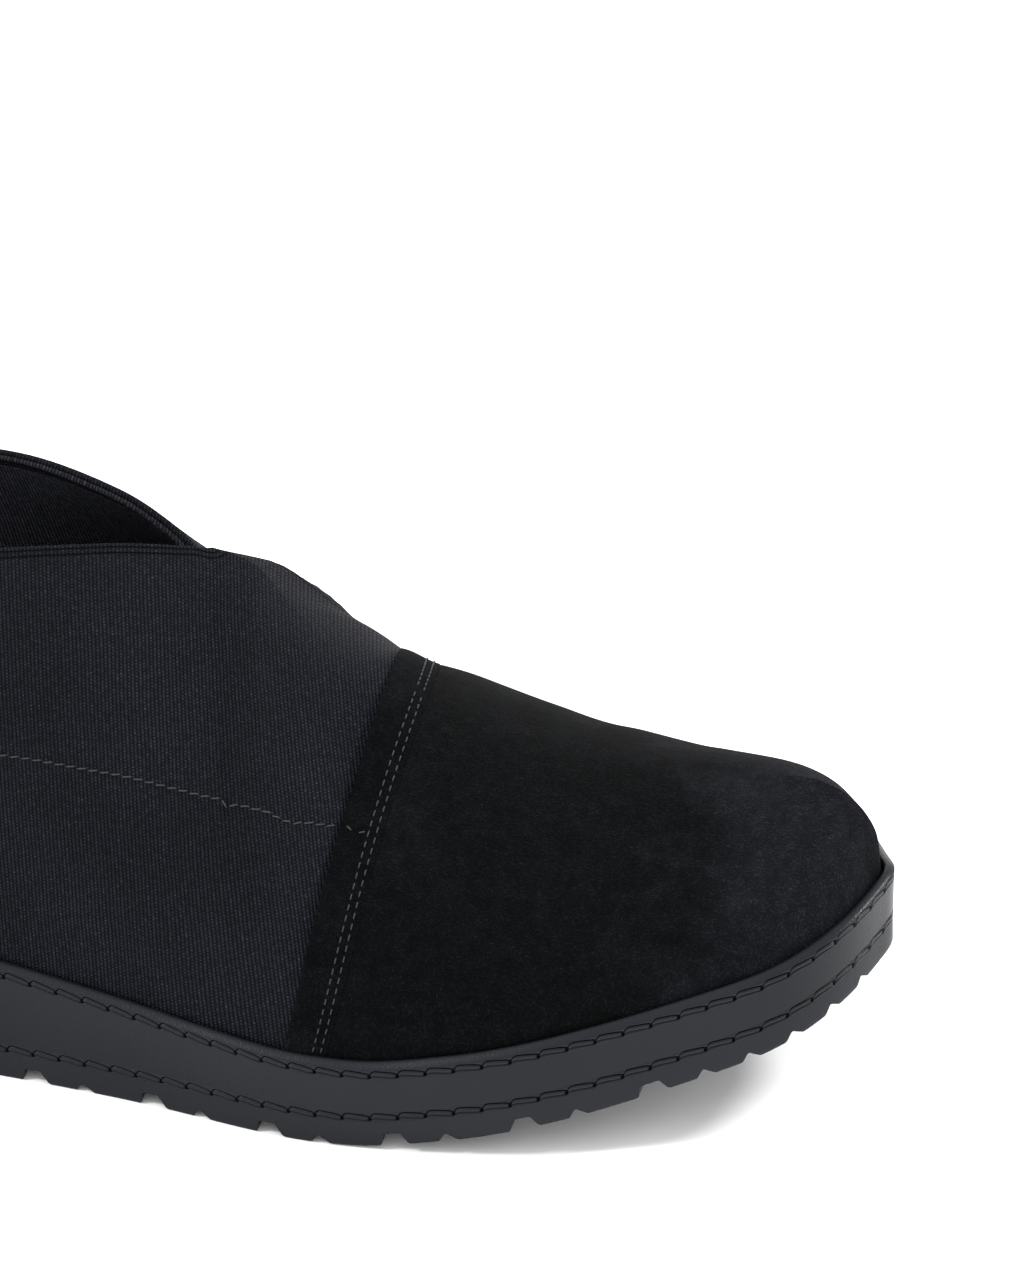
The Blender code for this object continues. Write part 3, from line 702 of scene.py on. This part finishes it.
def make_vamp(finish):
    rises = close_ends(70, RIB_LENGTH)
    patches = []
    for side in SIDES:
        rear = seam_share(side, rises, STRIP_SEAM, STRIP_WIDTH - UNDER_VAMP)
        patches.append(side_patch(side, close_ends(100, 120 * MM), rises, rear, np.ones_like(rises)))
    return shell("toe_suede", finish, patches, suede_step, lambda patch: -SKIN, VAMP_ROUND)


def make_counter(finish):
    rises = close_ends(50, RIB_LENGTH)
    patches = []
    for side in SIDES:
        front = seam_share(side, rises, COUNTER_SEAM, 0.0)
        patches.append(side_patch(side, close_ends(60, 90 * MM), rises, np.zeros_like(rises), front))

    def outer_face(patch):
        return COUNTER_OUT

    return shell("heel_suede", finish, patches, outer_face, lambda patch: -SKIN, COUNTER_ROUND)


# Closed body round the sole: rings of (inset, level) from the top cap to the bottom cap.
def ring_body(name, profile, shares, finish):
    stations = [(INNER, s) for s in shares] + [(OUTER, s) for s in shares[-2:0:-1]]
    count, steps = len(stations), len(shares) - 1
    at = np.array([SIDES[side].at(np.array([s]))[0] for side, s in stations])
    inward = np.array([SIDES[side].inward(np.array([s]))[0] for side, s in stations])
    points = []
    for inset, level in profile:
        plan = at + inward * inset
        points.append(np.column_stack([plan, level(plan[:, 0])]))
    faces = []
    for k in range(len(profile) - 1):
        for i in range(count):
            j = (i + 1) % count
            faces.append((k * count + i, (k + 1) * count + i, (k + 1) * count + j, k * count + j))
    last = (len(profile) - 1) * count
    for start in (0, last):
        for i in range(steps):
            ring = []
            for k in (i, i + 1, (count - i - 1) % count, (count - i) % count):
                if start + k not in ring:
                    ring.append(start + k)
            faces.append(ring)
    made = new_piece(name, np.vstack(points), faces, finish=finish)
    fix_normals(made)
    return made


# Rings of the sole at the insets and heights of a table, over one of its lines.
def rings_over(line, table):
    return [(inset * MM, lambda x, rise=rise: line(x) + rise * MM) for inset, rise in table]


# Turns all faces outward, after points closer together than merge have been joined.
def fix_normals(piece, merge=0.0):
    build = bmesh.new()
    build.from_mesh(piece.data)
    if merge:
        bmesh.ops.remove_doubles(build, verts=build.verts, dist=merge)
    bmesh.ops.recalc_face_normals(build, faces=build.faces)
    build.to_mesh(piece.data)
    build.free()


def keep_creases(piece, degrees):
    piece.data.set_sharp_from_angle(angle=math.radians(degrees))


def make_midsole(finish):
    profile = rings_over(rim_line, RIM_PROFILE) + rings_over(tread_top, LOWER_SLOT)
    made = ring_body("sole_side", profile, np.linspace(0, 1, 281), finish)
    keep_creases(made, 50)
    return made


# The two rows of moulded stitches: narrow strips in the slots of the side, with the stitches and
# the fine grooves round them in relief.
def make_moulded_rows(finish):
    form = np.array(MOULDED_FORM)
    marks = (np.arange(MOULDED_COUNT)[:, None] + form[None, :, 0]).reshape(-1)
    middle, half_high, face = [np.tile(form[:, k], MOULDED_COUNT) for k in (1, 2, 3)]
    middle, half_high, face = [np.append(row, row[0]) for row in (middle, half_high, face)]
    marks = np.append(marks, MOULDED_COUNT)
    ends = ((ROW_HALF, ROW_BACK), (ROW_HALF, 0.0), (-ROW_HALF, 0.0), (-ROW_HALF, ROW_BACK))
    rows = [(np.full_like(middle, rise), np.full_like(middle, depth)) for rise, depth in ends]
    rows[2:2] = [
        (middle + half * half_high + shift, depth + on_face * face)
        for half, shift, depth, on_face in MOULDED_ACROSS
    ]
    points, faces, cloth = [], [], []
    for level, base in ((rim_line, UPPER_ROW), (tread_top, LOWER_ROW)):
        ring = []
        for side in (INNER, OUTER):
            order = slice(0, -1) if side == INNER else slice(-1, 0, -1)
            share = (marks / MOULDED_COUNT)[order]
            for_side = []
            for rise, depth in rows:
                rise, depth = rise[order], depth[order]
                plan = SIDES[side].inset(share, ((SIDE_INSET + depth) * MM)[:, None])
                spot = np.column_stack([plan, level(plan[:, 0]) + base + rise * MM])
                # The cloth keeps the way along the row and the depth, by which the rubber paints shade into
                # the grooves.
                for_side.append(np.column_stack([spot, share * SIDES[side].length, depth * MM]))
            ring.append(np.stack(for_side, 1))
        ring = np.concatenate(ring)
        start = sum(len(part) for part in points)
        count, tall = ring.shape[:2]
        for i in range(count):
            nxt = (i + 1) % count
            for j in range(tall):
                up = (j + 1) % tall
                here, there = start + i * tall, start + nxt * tall
                faces.append((here + j, here + up, there + up, there + j))
        points.append(ring.reshape(-1, 5)[:, :3])
        cloth.append(ring.reshape(-1, 5)[:, 3:])
    made = new_piece("moulded_stitches", np.vstack(points), faces, np.vstack(cloth), finish)
    fix_normals(made)
    return made


# Prism of one notch form laid along the tread from one place to another.
def notch_prism(form, wide, deep, start, end, along):
    points = []
    probe = PROBE * LENGTH
    for spot in (start, end):
        slope = (tread_level(spot[0] + probe) - tread_level(spot[0] - probe)) / (2 * probe)
        for u, v in form:
            x, y = spot + along * u * wide
            level = float(tread_level(spot[0]) + slope * (x - spot[0]))
            points.append((x, y, level + v * deep))
    size = len(form)
    faces = [list(range(size)), list(range(size, 2 * size))]
    for i in range(size):
        j = (i + 1) % size
        faces.append((i, j, size + j, size + i))
    return points, faces


def small_places():
    heel = np.arange(FIRST_WIDE - BESIDE_WIDE, SMALL_STEP, -SMALL_STEP)
    between = FIRST_WIDE + BESIDE_WIDE + WIDE_STEP * np.arange(WIDE_COUNT)
    toe = np.arange(between[-1] + SMALL_STEP, 1 - SMALL_STEP, SMALL_STEP)
    return np.concatenate([heel, between, toe])


def make_tread(finish):
    profile = rings_over(tread_top, TREAD_UPPER) + rings_over(tread_level, TREAD_LOWER)
    made = ring_body("tread", profile, np.linspace(0, 1, 241), finish)
    wide, small = [], []
    for k in range(WIDE_COUNT):
        share = FIRST_WIDE + WIDE_STEP * k
        near = SIDES[INNER].at(share)
        far = SIDES[OUTER].at(share)
        line = unit(far - near)
        along = np.array([line[1], -line[0]])
        ends = near - line * NOTCH_START, far + line * NOTCH_START
        wide.append(notch_prism(WIDE_FORM, WIDE_NOTCH, WIDE_DEPTH, *ends, along))
    for share in small_places():
        room = min(1.0, END_ROOM + ROOM_GAIN * min(share, 1 - share))
        for side, half in SIDES.items():
            inward = half.inward(share)
            along = np.array([-inward[1], inward[0]]) * side
            start = half.at(share) - inward * NOTCH_START
            end = half.at(share) + inward * NOTCH_REACH * room
            small.append(notch_prism(SMALL_FORM, SMALL_NOTCH, SMALL_DEPTH, start, end, along))
    cutters = [join_shapes("wide_notches", wide), join_shapes("small_notches", small)]
    for cutter in cutters:
        step = made.modifiers.new(cutter.name, "BOOLEAN")
        step.operation = "DIFFERENCE"
        step.solver = "EXACT"
        step.object = cutter
    settle(made)
    for cutter in cutters:
        bpy.data.objects.remove(cutter)
    keep_creases(made, 32)
    return made


def join_shapes(name, shapes):
    points, faces = [], []
    for corners, sides in shapes:
        faces.extend([[k + len(points) for k in face] for face in sides])
        points.extend(corners)
    made = new_piece(name, points, faces)
    fix_normals(made)
    return made


# Puts the result of a piece's modifiers into its own mesh.
def settle(piece):
    bpy.context.view_layer.update()
    seen = piece.evaluated_get(bpy.context.evaluated_depsgraph_get())
    mesh = bpy.data.meshes.new_from_object(seen)
    piece.modifiers.clear()
    piece.data = mesh


# The footbed: a slightly cupped top on a flat underside.
def make_footbed(finish):
    shares = np.linspace(0, 1, 121)
    inner = SIDES[INNER].inset(shares, BED_INSET)
    outer = SIDES[OUTER].inset(shares, BED_INSET)
    across = np.linspace(0, 1, 17)
    plan = inner[:, None] * (1 - across)[None, :, None] + outer[:, None] * across[None, :, None]
    rise = np.abs(2 * across - 1) ** 3
    level = rim_line(plan[..., 0]) + CLEAR
    width = np.linalg.norm(outer - inner, axis=1)[:, None]
    top = level + INSOLE - BED_CUP + BED_CUP * rise[None, :] * np.minimum(width / BED_CUP_WIDTH, 1)
    grid = np.concatenate([plan, top[..., None]], -1)
    under = np.concatenate([plan, level[..., None]], -1)
    rows, columns = plan.shape[:2]
    points = np.vstack([grid.reshape(-1, 3), under.reshape(-1, 3)])
    size = rows * columns
    faces = []
    for i in range(rows - 1):
        for j in range(columns - 1):
            a = i * columns + j
            quad = (a, a + 1, a + columns + 1, a + columns)
            faces.append(quad[::-1])
            faces.append(tuple(k + size for k in quad))
        for j in (0, columns - 1):
            a = i * columns + j
            faces.append((a, a + columns, a + columns + size, a + size))
    made = new_piece("footbed_cover", points, faces, finish=finish)
    fix_normals(made, 0.005 * MM)
    keep_creases(made, 50)
    return made


# Tree that sets one small piece at every point of a mesh, turned by the point's two directions.
def setting_tree(template, finish):
    tree = bpy.data.node_groups.new("set_in_a_row", "GeometryNodeTree")
    for way in ("INPUT", "OUTPUT"):
        tree.interface.new_socket("Geometry", in_out=way, socket_type="NodeSocketGeometry")
    nodes, link = tree.nodes, tree.links.new
    given, made = nodes.new("NodeGroupInput"), nodes.new("NodeGroupOutput")
    source = nodes.new("GeometryNodeObjectInfo")
    source.inputs["Object"].default_value = template
    turn = nodes.new("FunctionNodeAxesToRotation")
    turn.primary_axis, turn.secondary_axis = "Z", "X"
    each = nodes.new("GeometryNodeInstanceOnPoints")
    directions = (("out", turn, "Primary Axis"), ("along", turn, "Secondary Axis"), ("size", each, "Scale"))
    for name, node, socket in directions:
        read = nodes.new("GeometryNodeInputNamedAttribute")
        read.data_type = "FLOAT_VECTOR"
        read.inputs["Name"].default_value = name
        link(read.outputs["Attribute"], node.inputs[socket])
    link(given.outputs["Geometry"], each.inputs["Points"])
    link(source.outputs["Geometry"], each.inputs["Instance"])
    link(turn.outputs["Rotation"], each.inputs["Rotation"])
    real = nodes.new("GeometryNodeRealizeInstances")
    link(each.outputs["Instances"], real.inputs["Geometry"])
    paint = nodes.new("GeometryNodeSetMaterial")
    paint.inputs["Material"].default_value = finish
    link(real.outputs["Geometry"], paint.inputs["Geometry"])
    link(paint.outputs["Geometry"], made.inputs["Geometry"])
    return tree


# One joined piece of many copies of a small template, at places with directions along and out.
def set_in_a_row(name, template, places, along, out, size, finish):
    mesh = bpy.data.meshes.new(name)
    mesh.from_pydata([tuple(p) for p in np.asarray(places) + SHIFT], [], [])
    sizes = np.broadcast_to(size, np.shape(places))
    for key, rows in (("along", along), ("out", out), ("size", sizes)):
        layer = mesh.attributes.new(key, "FLOAT_VECTOR", "POINT")
        layer.data.foreach_set("vector", np.asarray(rows, np.float32).reshape(-1))
    made = add_object(name, mesh)
    made.modifiers.new("row", "NODES").node_group = setting_tree(template, finish)
    settle(made)
    made.data.polygons.foreach_set("use_smooth", [True] * len(made.data.polygons))
    return made


# Round bar along a line of points, closed at both ends, as a small template.
def bar(name, spine, radii, sides=6):
    points, faces = [], []
    for (x, y, z), radius in zip(spine, radii):
        for i in range(sides):
            turn = 2 * math.pi * i / sides
            points.append((x, y + radius * math.cos(turn), z + radius * math.sin(turn)))
    rings = len(spine)
    for k in range(rings - 1):
        for i in range(sides):
            j = (i + 1) % sides
            faces.append((k * sides + i, (k + 1) * sides + i, (k + 1) * sides + j, k * sides + j))
    faces.append(tuple(range(sides)))
    faces.append(tuple(range((rings - 1) * sides, rings * sides)))
    mesh = bpy.data.meshes.new(name)
    mesh.from_pydata(points, [], faces)
    made = add_object(name, mesh)
    fix_normals(made)
    return made


# One sewing stitch of length 1 and thickness 1, sunk at both ends.
def stitch_template():
    t = np.linspace(-1, 1, 9)
    spine = np.column_stack([t * 0.5, 0 * t, 0.10 * MM - 0.32 * MM * np.abs(t) ** 3.2])
    radii = 0.20 * MM * np.sqrt(np.clip(1 - 0.55 * t ** 4, 0.05, 1))
    return bar("stitch", spine, radii)


# Places on a line over the skin, spaced evenly, with their directions.
def line_places(side, shares, rises, lift, pitch):
    points = skin(side, shares, rises)
    normals = skin_normals(side, shares, rises)
    run = run_lengths(points, 0)
    count = max(int(run[-1] / pitch), 1)
    spots = (np.arange(count) + 0.5) * run[-1] / count
    heights = np.interp(spots, run, np.broadcast_to(lift, run.shape))

    def read(rows, at=spots):
        return np.stack([np.interp(at, run, rows[:, axis]) for axis in range(3)], -1)

    out = unit(read(normals))
    along = unit(read(points, spots + 0.2 * MM) - read(points))
    return read(points) + out * heights[:, None], along, out


# One piece with a stitch at every place of some lines.
def sew(name, lines, size, finish):
    template = stitch_template()
    places, along, out = [np.vstack(rows) for rows in zip(*lines)]
    made = set_in_a_row(name, template, places, along, out, size, finish)
    bpy.data.objects.remove(template)
    return made


# Thread over the strip's face, at distances back from its front edge.
def strip_line(side, shares, rises, back):
    lift = strip_height(Patch(side, shares, rises, None), back) + STRIP_THREAD_LIFT
    return line_places(side, shares, rises, lift, STRIP_STITCH)


# The two rows of thread down the strip, on both sides of the shoe, and the end of the band's row
# that crosses the strip on the inner side.
def make_strip_threads(finish):
    rises = np.linspace(0.03, 0.985, 300)
    lines = []
    for side in SIDES:
        for shift in STRIP_ROWS:
            shares = seam_share(side, rises, STRIP_SEAM, shift * MM)
            lines.append(strip_line(side, shares, rises, STRIP_WIDTH - shift * MM))
    jog = np.linspace(0.3 * MM, STRIP_ROWS[0] * MM, 12)
    rises = np.full_like(jog, JOG_RISE) - JOG_DIP * np.sin(np.linspace(0, math.pi, len(jog)))
    spots = zip(rises, jog)
    shares = np.array([seam_share(INNER, [rise], STRIP_SEAM, shift)[0] for rise, shift in spots])
    lines.append(strip_line(INNER, shares, rises, STRIP_WIDTH - jog))
    return sew("strip_threads", lines, (0.66 * STRIP_STITCH, 0.62, 0.62), finish)


# The row of thread along each elastic band, from the heel piece to the strip.
def make_band_threads(finish):
    marks = np.linspace(0, 1, 300)
    rises = curve(THREAD_LINE, 1)(marks)
    lines = []
    for side in SIDES:
        rear = seam_share(side, rises, COUNTER_SEAM, 0.0)
        front = seam_share(side, rises, STRIP_SEAM, -0.6 * MM)
        shares = rear + (front - rear) * marks
        places, along, out = line_places(side, shares, rises, BAND_THREAD_LIFT, SIDE_STITCH)
        lines.append((places, unit(along + THREAD_SLANT * np.cross(out, along)), out))
    return sew("band_threads", lines, (0.86 * SIDE_STITCH, 0.66, 0.66), finish)


# One step of maths, named as Blender names it.
def maths(operation):
    def apply(value, *others):
        values = {k: other for k, other in enumerate((value, *others))}
        return value.finish.node("ShaderNodeMath", {"operation": operation}, values)

    return apply


# A number or colour on its way through a finish: it adds the maths nodes as it is used.
class Value:
    def __init__(self, finish, socket):
        self.finish = finish
        self.socket = socket

    __add__ = __radd__ = maths("ADD")
    __sub__ = maths("SUBTRACT")
    __mul__ = __rmul__ = maths("MULTIPLY")
    __truediv__ = maths("DIVIDE")
    __pow__ = maths("POWER")
    abs = maths("ABSOLUTE")
    floor = maths("FLOOR")
    fraction = maths("FRACT")
    sine = maths("SINE")
    least = maths("MINIMUM")
    most = maths("MAXIMUM")

    def __rsub__(self, other):
        return self.finish.node("ShaderNodeMath", {"operation": "SUBTRACT"}, {0: other, 1: self})

    # Goes smoothly from 0 at low to 1 at high.
    def step(self, low, high):
        settings = {"interpolation_type": "SMOOTHSTEP"}
        values = {"Value": self, "From Min": low, "From Max": high}
        return self.finish.node("ShaderNodeMapRange", settings, values)


# A procedural finish on the Principled shader.
class Finish:
    def __init__(self, name):
        self.material = bpy.data.materials.new(name)
        self.material.use_nodes = True
        self.tree = self.material.node_tree
        self.tree.nodes.clear()
        self.place = self.node("ShaderNodeTexCoord", output="Object")

    def node(self, kind, settings=None, values=None, output=0):
        made = self.tree.nodes.new(kind)
        for key, value in (settings or {}).items():
            setattr(made, key, value)
        for key, value in (values or {}).items():
            self.fill(made.inputs[key], value)
        return Value(self, made.outputs[output])

    def fill(self, socket, value):
        if isinstance(value, Value):
            self.tree.links.new(value.socket, socket)
        else:
            socket.default_value = value

    # Noise with features of a size in millimetres.
    def noise(self, size, detail=2.0, rough=0.5, place=None):
        values = {"Vector": place or self.place, "Scale": 1000.0 / size, "Detail": detail}
        return self.node("ShaderNodeTexNoise", values={**values, "Roughness": rough})

    def stretched(self, scale, turn=(0.0, 0.0, 0.0)):
        values = {"Vector": self.place, "Rotation": turn, "Scale": scale}
        return self.node("ShaderNodeMapping", values=values)

    # Parts of the place on the shoe, in millimetres.
    def part(self, axis):
        return self.node("ShaderNodeSeparateXYZ", values={"Vector": self.place}, output=axis) * 1000.0

    # The two directions of the cloth, in millimetres.
    def cloth(self):
        seen = self.node("ShaderNodeUVMap", {"uv_map": "cloth"})
        parts = [self.node("ShaderNodeSeparateXYZ", values={"Vector": seen}, output=k) for k in (0, 1)]
        return [part * 100.0 for part in parts]

    # A place pushed a little in all three directions by a noise.
    def bent(self, place, amount, reach=0.0009):
        push = (amount - 0.5) * reach
        away = self.node("ShaderNodeCombineXYZ", values={0: push, 1: push * -1.0, 2: push})
        return self.node("ShaderNodeVectorMath", {"operation": "ADD"}, {0: place, 1: away})

    def mix(self, factor, low, high):
        low, high = [tone if isinstance(tone, Value) else (*tone, 1.0) for tone in (low, high)]
        return self.node("ShaderNodeMix", {"data_type": "RGBA"}, {0: factor, 6: low, 7: high}, output=2)

    def scaled(self, tone, amount):
        grey = self.node("ShaderNodeCombineXYZ", values={0: amount, 1: amount, 2: amount})
        return self.node("ShaderNodeVectorMath", {"operation": "MULTIPLY"}, {0: tone, 1: grey})

    def bump(self, height, depth, under=None):
        values = {"Height": height, "Distance": depth * MM, "Strength": 1.0}
        if under:
            values["Normal"] = under
        return self.node("ShaderNodeBump", values=values)

    def shade(self, **values):
        titles = {key: key.replace("_", " ").title().replace("Ior", "IOR") for key in values}
        named = {titles[key]: value for key, value in values.items()}
        surface = self.node("ShaderNodeBsdfPrincipled", values=named)
        out = self.tree.nodes.new("ShaderNodeOutputMaterial")
        self.tree.links.new(surface.socket, out.inputs["Surface"])
        return self.material


def tone(red, green, blue):
    levels = []
    for level in (red, green, blue):
        share = level / 255
        levels.append(share / 12.92 if share < 0.04045 else ((share + 0.055) / 1.055) ** 2.4)
    return tuple(levels)


# Woven elastic: fine upright ribs of small cells, offset by half from rib to rib, and two sunk
# lines along the finished edge. side is 0 for a piece that covers both sides.
def elastic_finish(name, side, light, dark):
    finish = Finish(name)
    x, y, z = [finish.part(axis) for axis in range(3)]
    edge = finish.cloth()[1]
    wide = y * side if side else y.abs()
    level = z * 0.875 - wide * 0.479 - x * 0.076
    lean = x.step(18.0, 50.0) * 0.08 + 0.045
    along = x * 0.988 - wide * 0.156 + lean * (level - 30.0)
    column = (along + (finish.noise(9.0) - 0.5) * 0.35) / RIB_PITCH
    across = (column.fraction() * math.pi).sine() ** 1.3
    offset = (column.floor() * 0.5).fraction()
    row = (level + (finish.noise(4.0) - 0.5) * 0.25) / CELL_PITCH
    cell = ((row + offset).fraction() * math.pi).sine()
    pair = (row * math.pi).sine().abs()
    weave = across * (cell * 0.62 + pair * 0.18 + 0.20)
    patch = finish.noise(26.0, 3.0).step(0.30, 0.72)
    uneven = finish.noise(0.7, 2.0, 0.7).step(0.35, 0.68)
    glint = finish.noise(0.38, 0.0).step(0.62, 0.82)
    shade = 0.12 + weave * (1.05 + uneven * 1.1 + glint * 1.8)
    first = 1 - ((edge + 0.70).abs() / 0.20).least(1.0)
    second = 1 - ((edge + 1.60).abs() / 0.22).least(1.0)
    lines = first.most(second)
    selvage_and_edge_shade = edge.step(-1.70, -1.45)
    height = weave * (1 - selvage_and_edge_shade * 0.5) - lines * 2.2
    # Painted shade: the sunk lines are darker; the finished edge is a little darker, and on the inside
    # piece far darker, as painted shade on the lining's top edge.
    shade = shade * (1 - lines * 0.75) * (1 - selvage_and_edge_shade * (0.15 if side else 0.70))
    colour = finish.scaled(finish.mix(patch, dark, light), shade)
    normal = finish.bump(height, 0.20)
    return finish.shade(
        base_color=colour, roughness=0.78, normal=normal, specular_ior_level=0.05,
    )


# Two lies of the nap: stretch and turn of the fibres.
NAP_STRANDS = (
    ((0.30, 1.0, 1.0), (0.0, 0.5, 0.4)),
    ((1.0, 1.0, 0.30), (0.5, 0.6, 0.0)),
)


# Suede: short brushed fibres, with lighter patches where the nap lies the other way, and on the toe piece
# painted sheen as well.
def suede_finish(name, light, dark, patches):
    finish = Finish(name)
    cloud = finish.noise(19.0, 2.0, 0.5)
    streak = finish.noise(7.0, 2.0, 0.5, finish.stretched((0.40, 1.0, 1.0), (0.0, 0.25, 0.35)))
    nap_and_sheen = (cloud * 0.6 + streak * 0.4 + patches(finish)).step(0.40, 0.72)
    curl = finish.noise(0.9, 1.0)
    strands = [finish.stretched(scale, turn) for scale, turn in NAP_STRANDS]
    lengths = [finish.noise(0.24, 1.0, 0.5, finish.bent(strand, curl)) for strand in strands]
    fibre = lengths[0].most(lengths[1]).step(0.50, 0.78)
    clump = finish.noise(2.2, 2.0, 0.5).step(0.30, 0.72)
    shade = 0.40 + fibre * (0.75 + clump * 0.45) + clump * 0.16
    colour = finish.scaled(finish.mix(nap_and_sheen, dark, light), shade)
    normal = finish.bump(fibre * 0.7 + clump * 0.3, 0.22)
    return finish.shade(
        base_color=colour, roughness=0.95, normal=normal, specular_ior_level=0.02,
        sheen_weight=0.012, sheen_roughness=0.4,
    )


# Patches of the toe piece, partly brushed nap and partly painted sheen: lighter high up behind the strip
# and over the toe, dark in the middle.
def toe_nap_and_sheen(finish):
    x, y, z = [finish.part(axis) for axis in range(3)]
    rear = 1 - x.step(40.0, 66.0)
    toe = x.step(84.0, 112.0)
    # Painted sheen: lighter high up on the rear part and over the toe.
    high = z.step(30.0, 48.0)
    return (rear * high).most(toe) * 0.34 - 0.12


def plain_patches(finish):
    return finish.noise(40.0) * 0.1 - 0.05


# Moulded rubber: an even satin skin with a very fine grain, and on the moulded rows painted shade that
# darkens the grooves by their depth.
def rubber_finish(name, colour, rough, painted_groove_shade=False):
    finish = Finish(name)
    haze = finish.noise(22.0, 3.0).step(0.25, 0.8)
    fine = finish.noise(0.35, 2.0, 0.6)
    dark, light = [tuple(level * share for level in colour) for share in (0.88, 1.12)]
    base = finish.mix(haze, dark, light)
    if painted_groove_shade:
        # Painted shade: the colour darkens with the depth of the grooves, kept in the cloth map.
        depth = finish.cloth()[1]
        base = finish.scaled(base, 1 - depth.step(0.04, 0.25) * 0.95)
    rub = finish.noise(3.0, 4.0, 0.65).step(0.52, 0.75)
    roughness = rough + haze * 0.05 + rub * 0.06
    normal = finish.bump(fine, 0.05)
    return finish.shade(base_color=base, roughness=roughness, normal=normal, specular_ior_level=0.17)


def footbed_finish(name):
    finish = Finish(name)
    grain = finish.noise(0.8, 3.0, 0.6)
    worn = finish.noise(24.0, 2.0).step(0.3, 0.8)
    colour = finish.scaled(finish.mix(worn, tone(27, 28, 31), tone(33, 34, 37)), 0.7 + grain * 0.6)
    normal = finish.bump(grain, 0.12)
    return finish.shade(base_color=colour, roughness=0.8, normal=normal, specular_ior_level=0.25)


def thread_finish(name, colour):
    finish = Finish(name)
    twist = finish.noise(0.25, 2.0)
    light = tuple(level * 1.3 for level in colour)
    shaded = finish.scaled(finish.mix(twist, colour, light), 0.75 + twist * 0.5)
    normal = finish.bump(twist, 0.04)
    return finish.shade(base_color=shaded, roughness=0.6, normal=normal, specular_ior_level=0.3)


def show(piece, slot, *nodes):
    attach(piece, "root")
    if nodes:
        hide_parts(*nodes)


def make_floor():
    mesh = bpy.data.meshes.new("floor")
    corners = [(x * FLOOR_REACH, y * FLOOR_REACH, 0) for x, y in ((-1, -1), (1, -1), (1, 1), (-1, 1))]
    mesh.from_pydata(corners, [], [(0, 1, 2, 3)])
    grey = (FLOOR_GREY, FLOOR_GREY, FLOOR_GREY, 1.0)
    finish = Finish("pale_floor")
    mesh.materials.append(finish.shade(base_color=grey, roughness=0.9, specular_ior_level=0.0))
    add_object("floor", mesh)


def make_camera():
    turn = math.radians(CAMERA_TURN)
    drop = math.radians(CAMERA_DROP)
    right = Vector((math.cos(turn), math.sin(turn), 0.0))
    level = Vector((-math.sin(turn), math.cos(turn), 0.0)) * math.cos(drop)
    ahead = level - Vector((0.0, 0.0, math.sin(drop)))
    up = right.cross(ahead)
    camera = add_object("camera", bpy.data.cameras.new("camera"))
    camera.data.sensor_width = SENSOR
    camera.data.lens = SENSOR * FOCAL_PIXELS / FRAME_PIXELS[1]
    camera.data.clip_start = 0.05
    camera.data.clip_end = 50.0
    across, down = [(GROUND_PIXEL[k] - FRAME_PIXELS[k] / 2) / FOCAL_PIXELS for k in (0, 1)]
    ground = Vector(CAMERA_GROUND) * MM
    place = ground - (ahead + right * across - up * down) * CAMERA_DISTANCE
    facing = Matrix((right, up, -ahead)).transposed()
    camera.matrix_world = Matrix.Translation(place) @ facing.to_4x4()
    bpy.context.scene.camera = camera


def add_light(name, place, size, power):
    lamp = add_object(name, bpy.data.lights.new(name, "AREA"))
    lamp.data.shape = "DISK"
    lamp.data.size = size
    lamp.data.energy = power
    lamp.location = place
    away = Vector(place) - Vector(LAMP_TARGET)
    lamp.rotation_euler = away.to_track_quat("Z", "Y").to_euler()


def make_studio():
    scene = bpy.context.scene
    scene.view_settings.view_transform = "Standard"
    world = bpy.data.worlds.new("studio")
    scene.world = world
    world.use_nodes = True
    sky = world.node_tree.nodes["Background"].inputs
    sky["Color"].default_value = (1.0, 1.0, 1.0, 1.0)
    sky["Strength"].default_value = WORLD_LIGHT
    for lamp in LAMPS:
        add_light(*lamp)
    make_floor()


def make_shoe():
    elastic = elastic_finish("elastic_inner_side", INNER, tone(24, 25, 31), tone(20, 21, 26))
    other = elastic_finish("elastic_outer_side", OUTER, tone(24, 25, 31), tone(20, 21, 26))
    inside = elastic_finish("elastic_inside", 0, tone(62, 63, 70), tone(54, 55, 62))
    suede = suede_finish("toe_suede", tone(28, 29, 33), tone(14, 15, 16), toe_nap_and_sheen)
    strip = suede_finish("strip_suede", tone(18, 20, 23), tone(11, 13, 15), plain_patches)
    counter = suede_finish("counter_suede", tone(26, 27, 30), tone(17, 18, 20), plain_patches)
    side = rubber_finish("sole_rubber", tone(19, 21, 26), 0.30)
    tread = rubber_finish("tread_rubber", tone(22, 24, 29), 0.42)
    moulded = rubber_finish("moulded_rubber", tone(19, 21, 26), 0.36, painted_groove_shade=True)
    thread = thread_finish("thread", tone(32, 39, 37))
    show(make_inner_band(elastic), "elastic", "inner_band")
    show(make_outer_band(other), "elastic", "outer_band")
    show(make_lining(inside), "lining", "upper")
    show(make_strip(strip), "strip_suede", "vamp_strip")
    show(make_vamp(suede), "suede", "vamp")
    show(make_counter(counter), "counter_suede", "heel_counter")
    show(make_midsole(side), "sole_rubber", "midsole")
    show(make_moulded_rows(moulded), "sole_rubber")
    show(make_tread(tread), "tread_rubber", "outsole")
    show(make_footbed(footbed_finish("footbed")), "footbed", "insole")
    show(make_strip_threads(thread), "strip_suede")
    show(make_band_threads(thread), "elastic")


make_camera()
make_studio()
make_shoe()
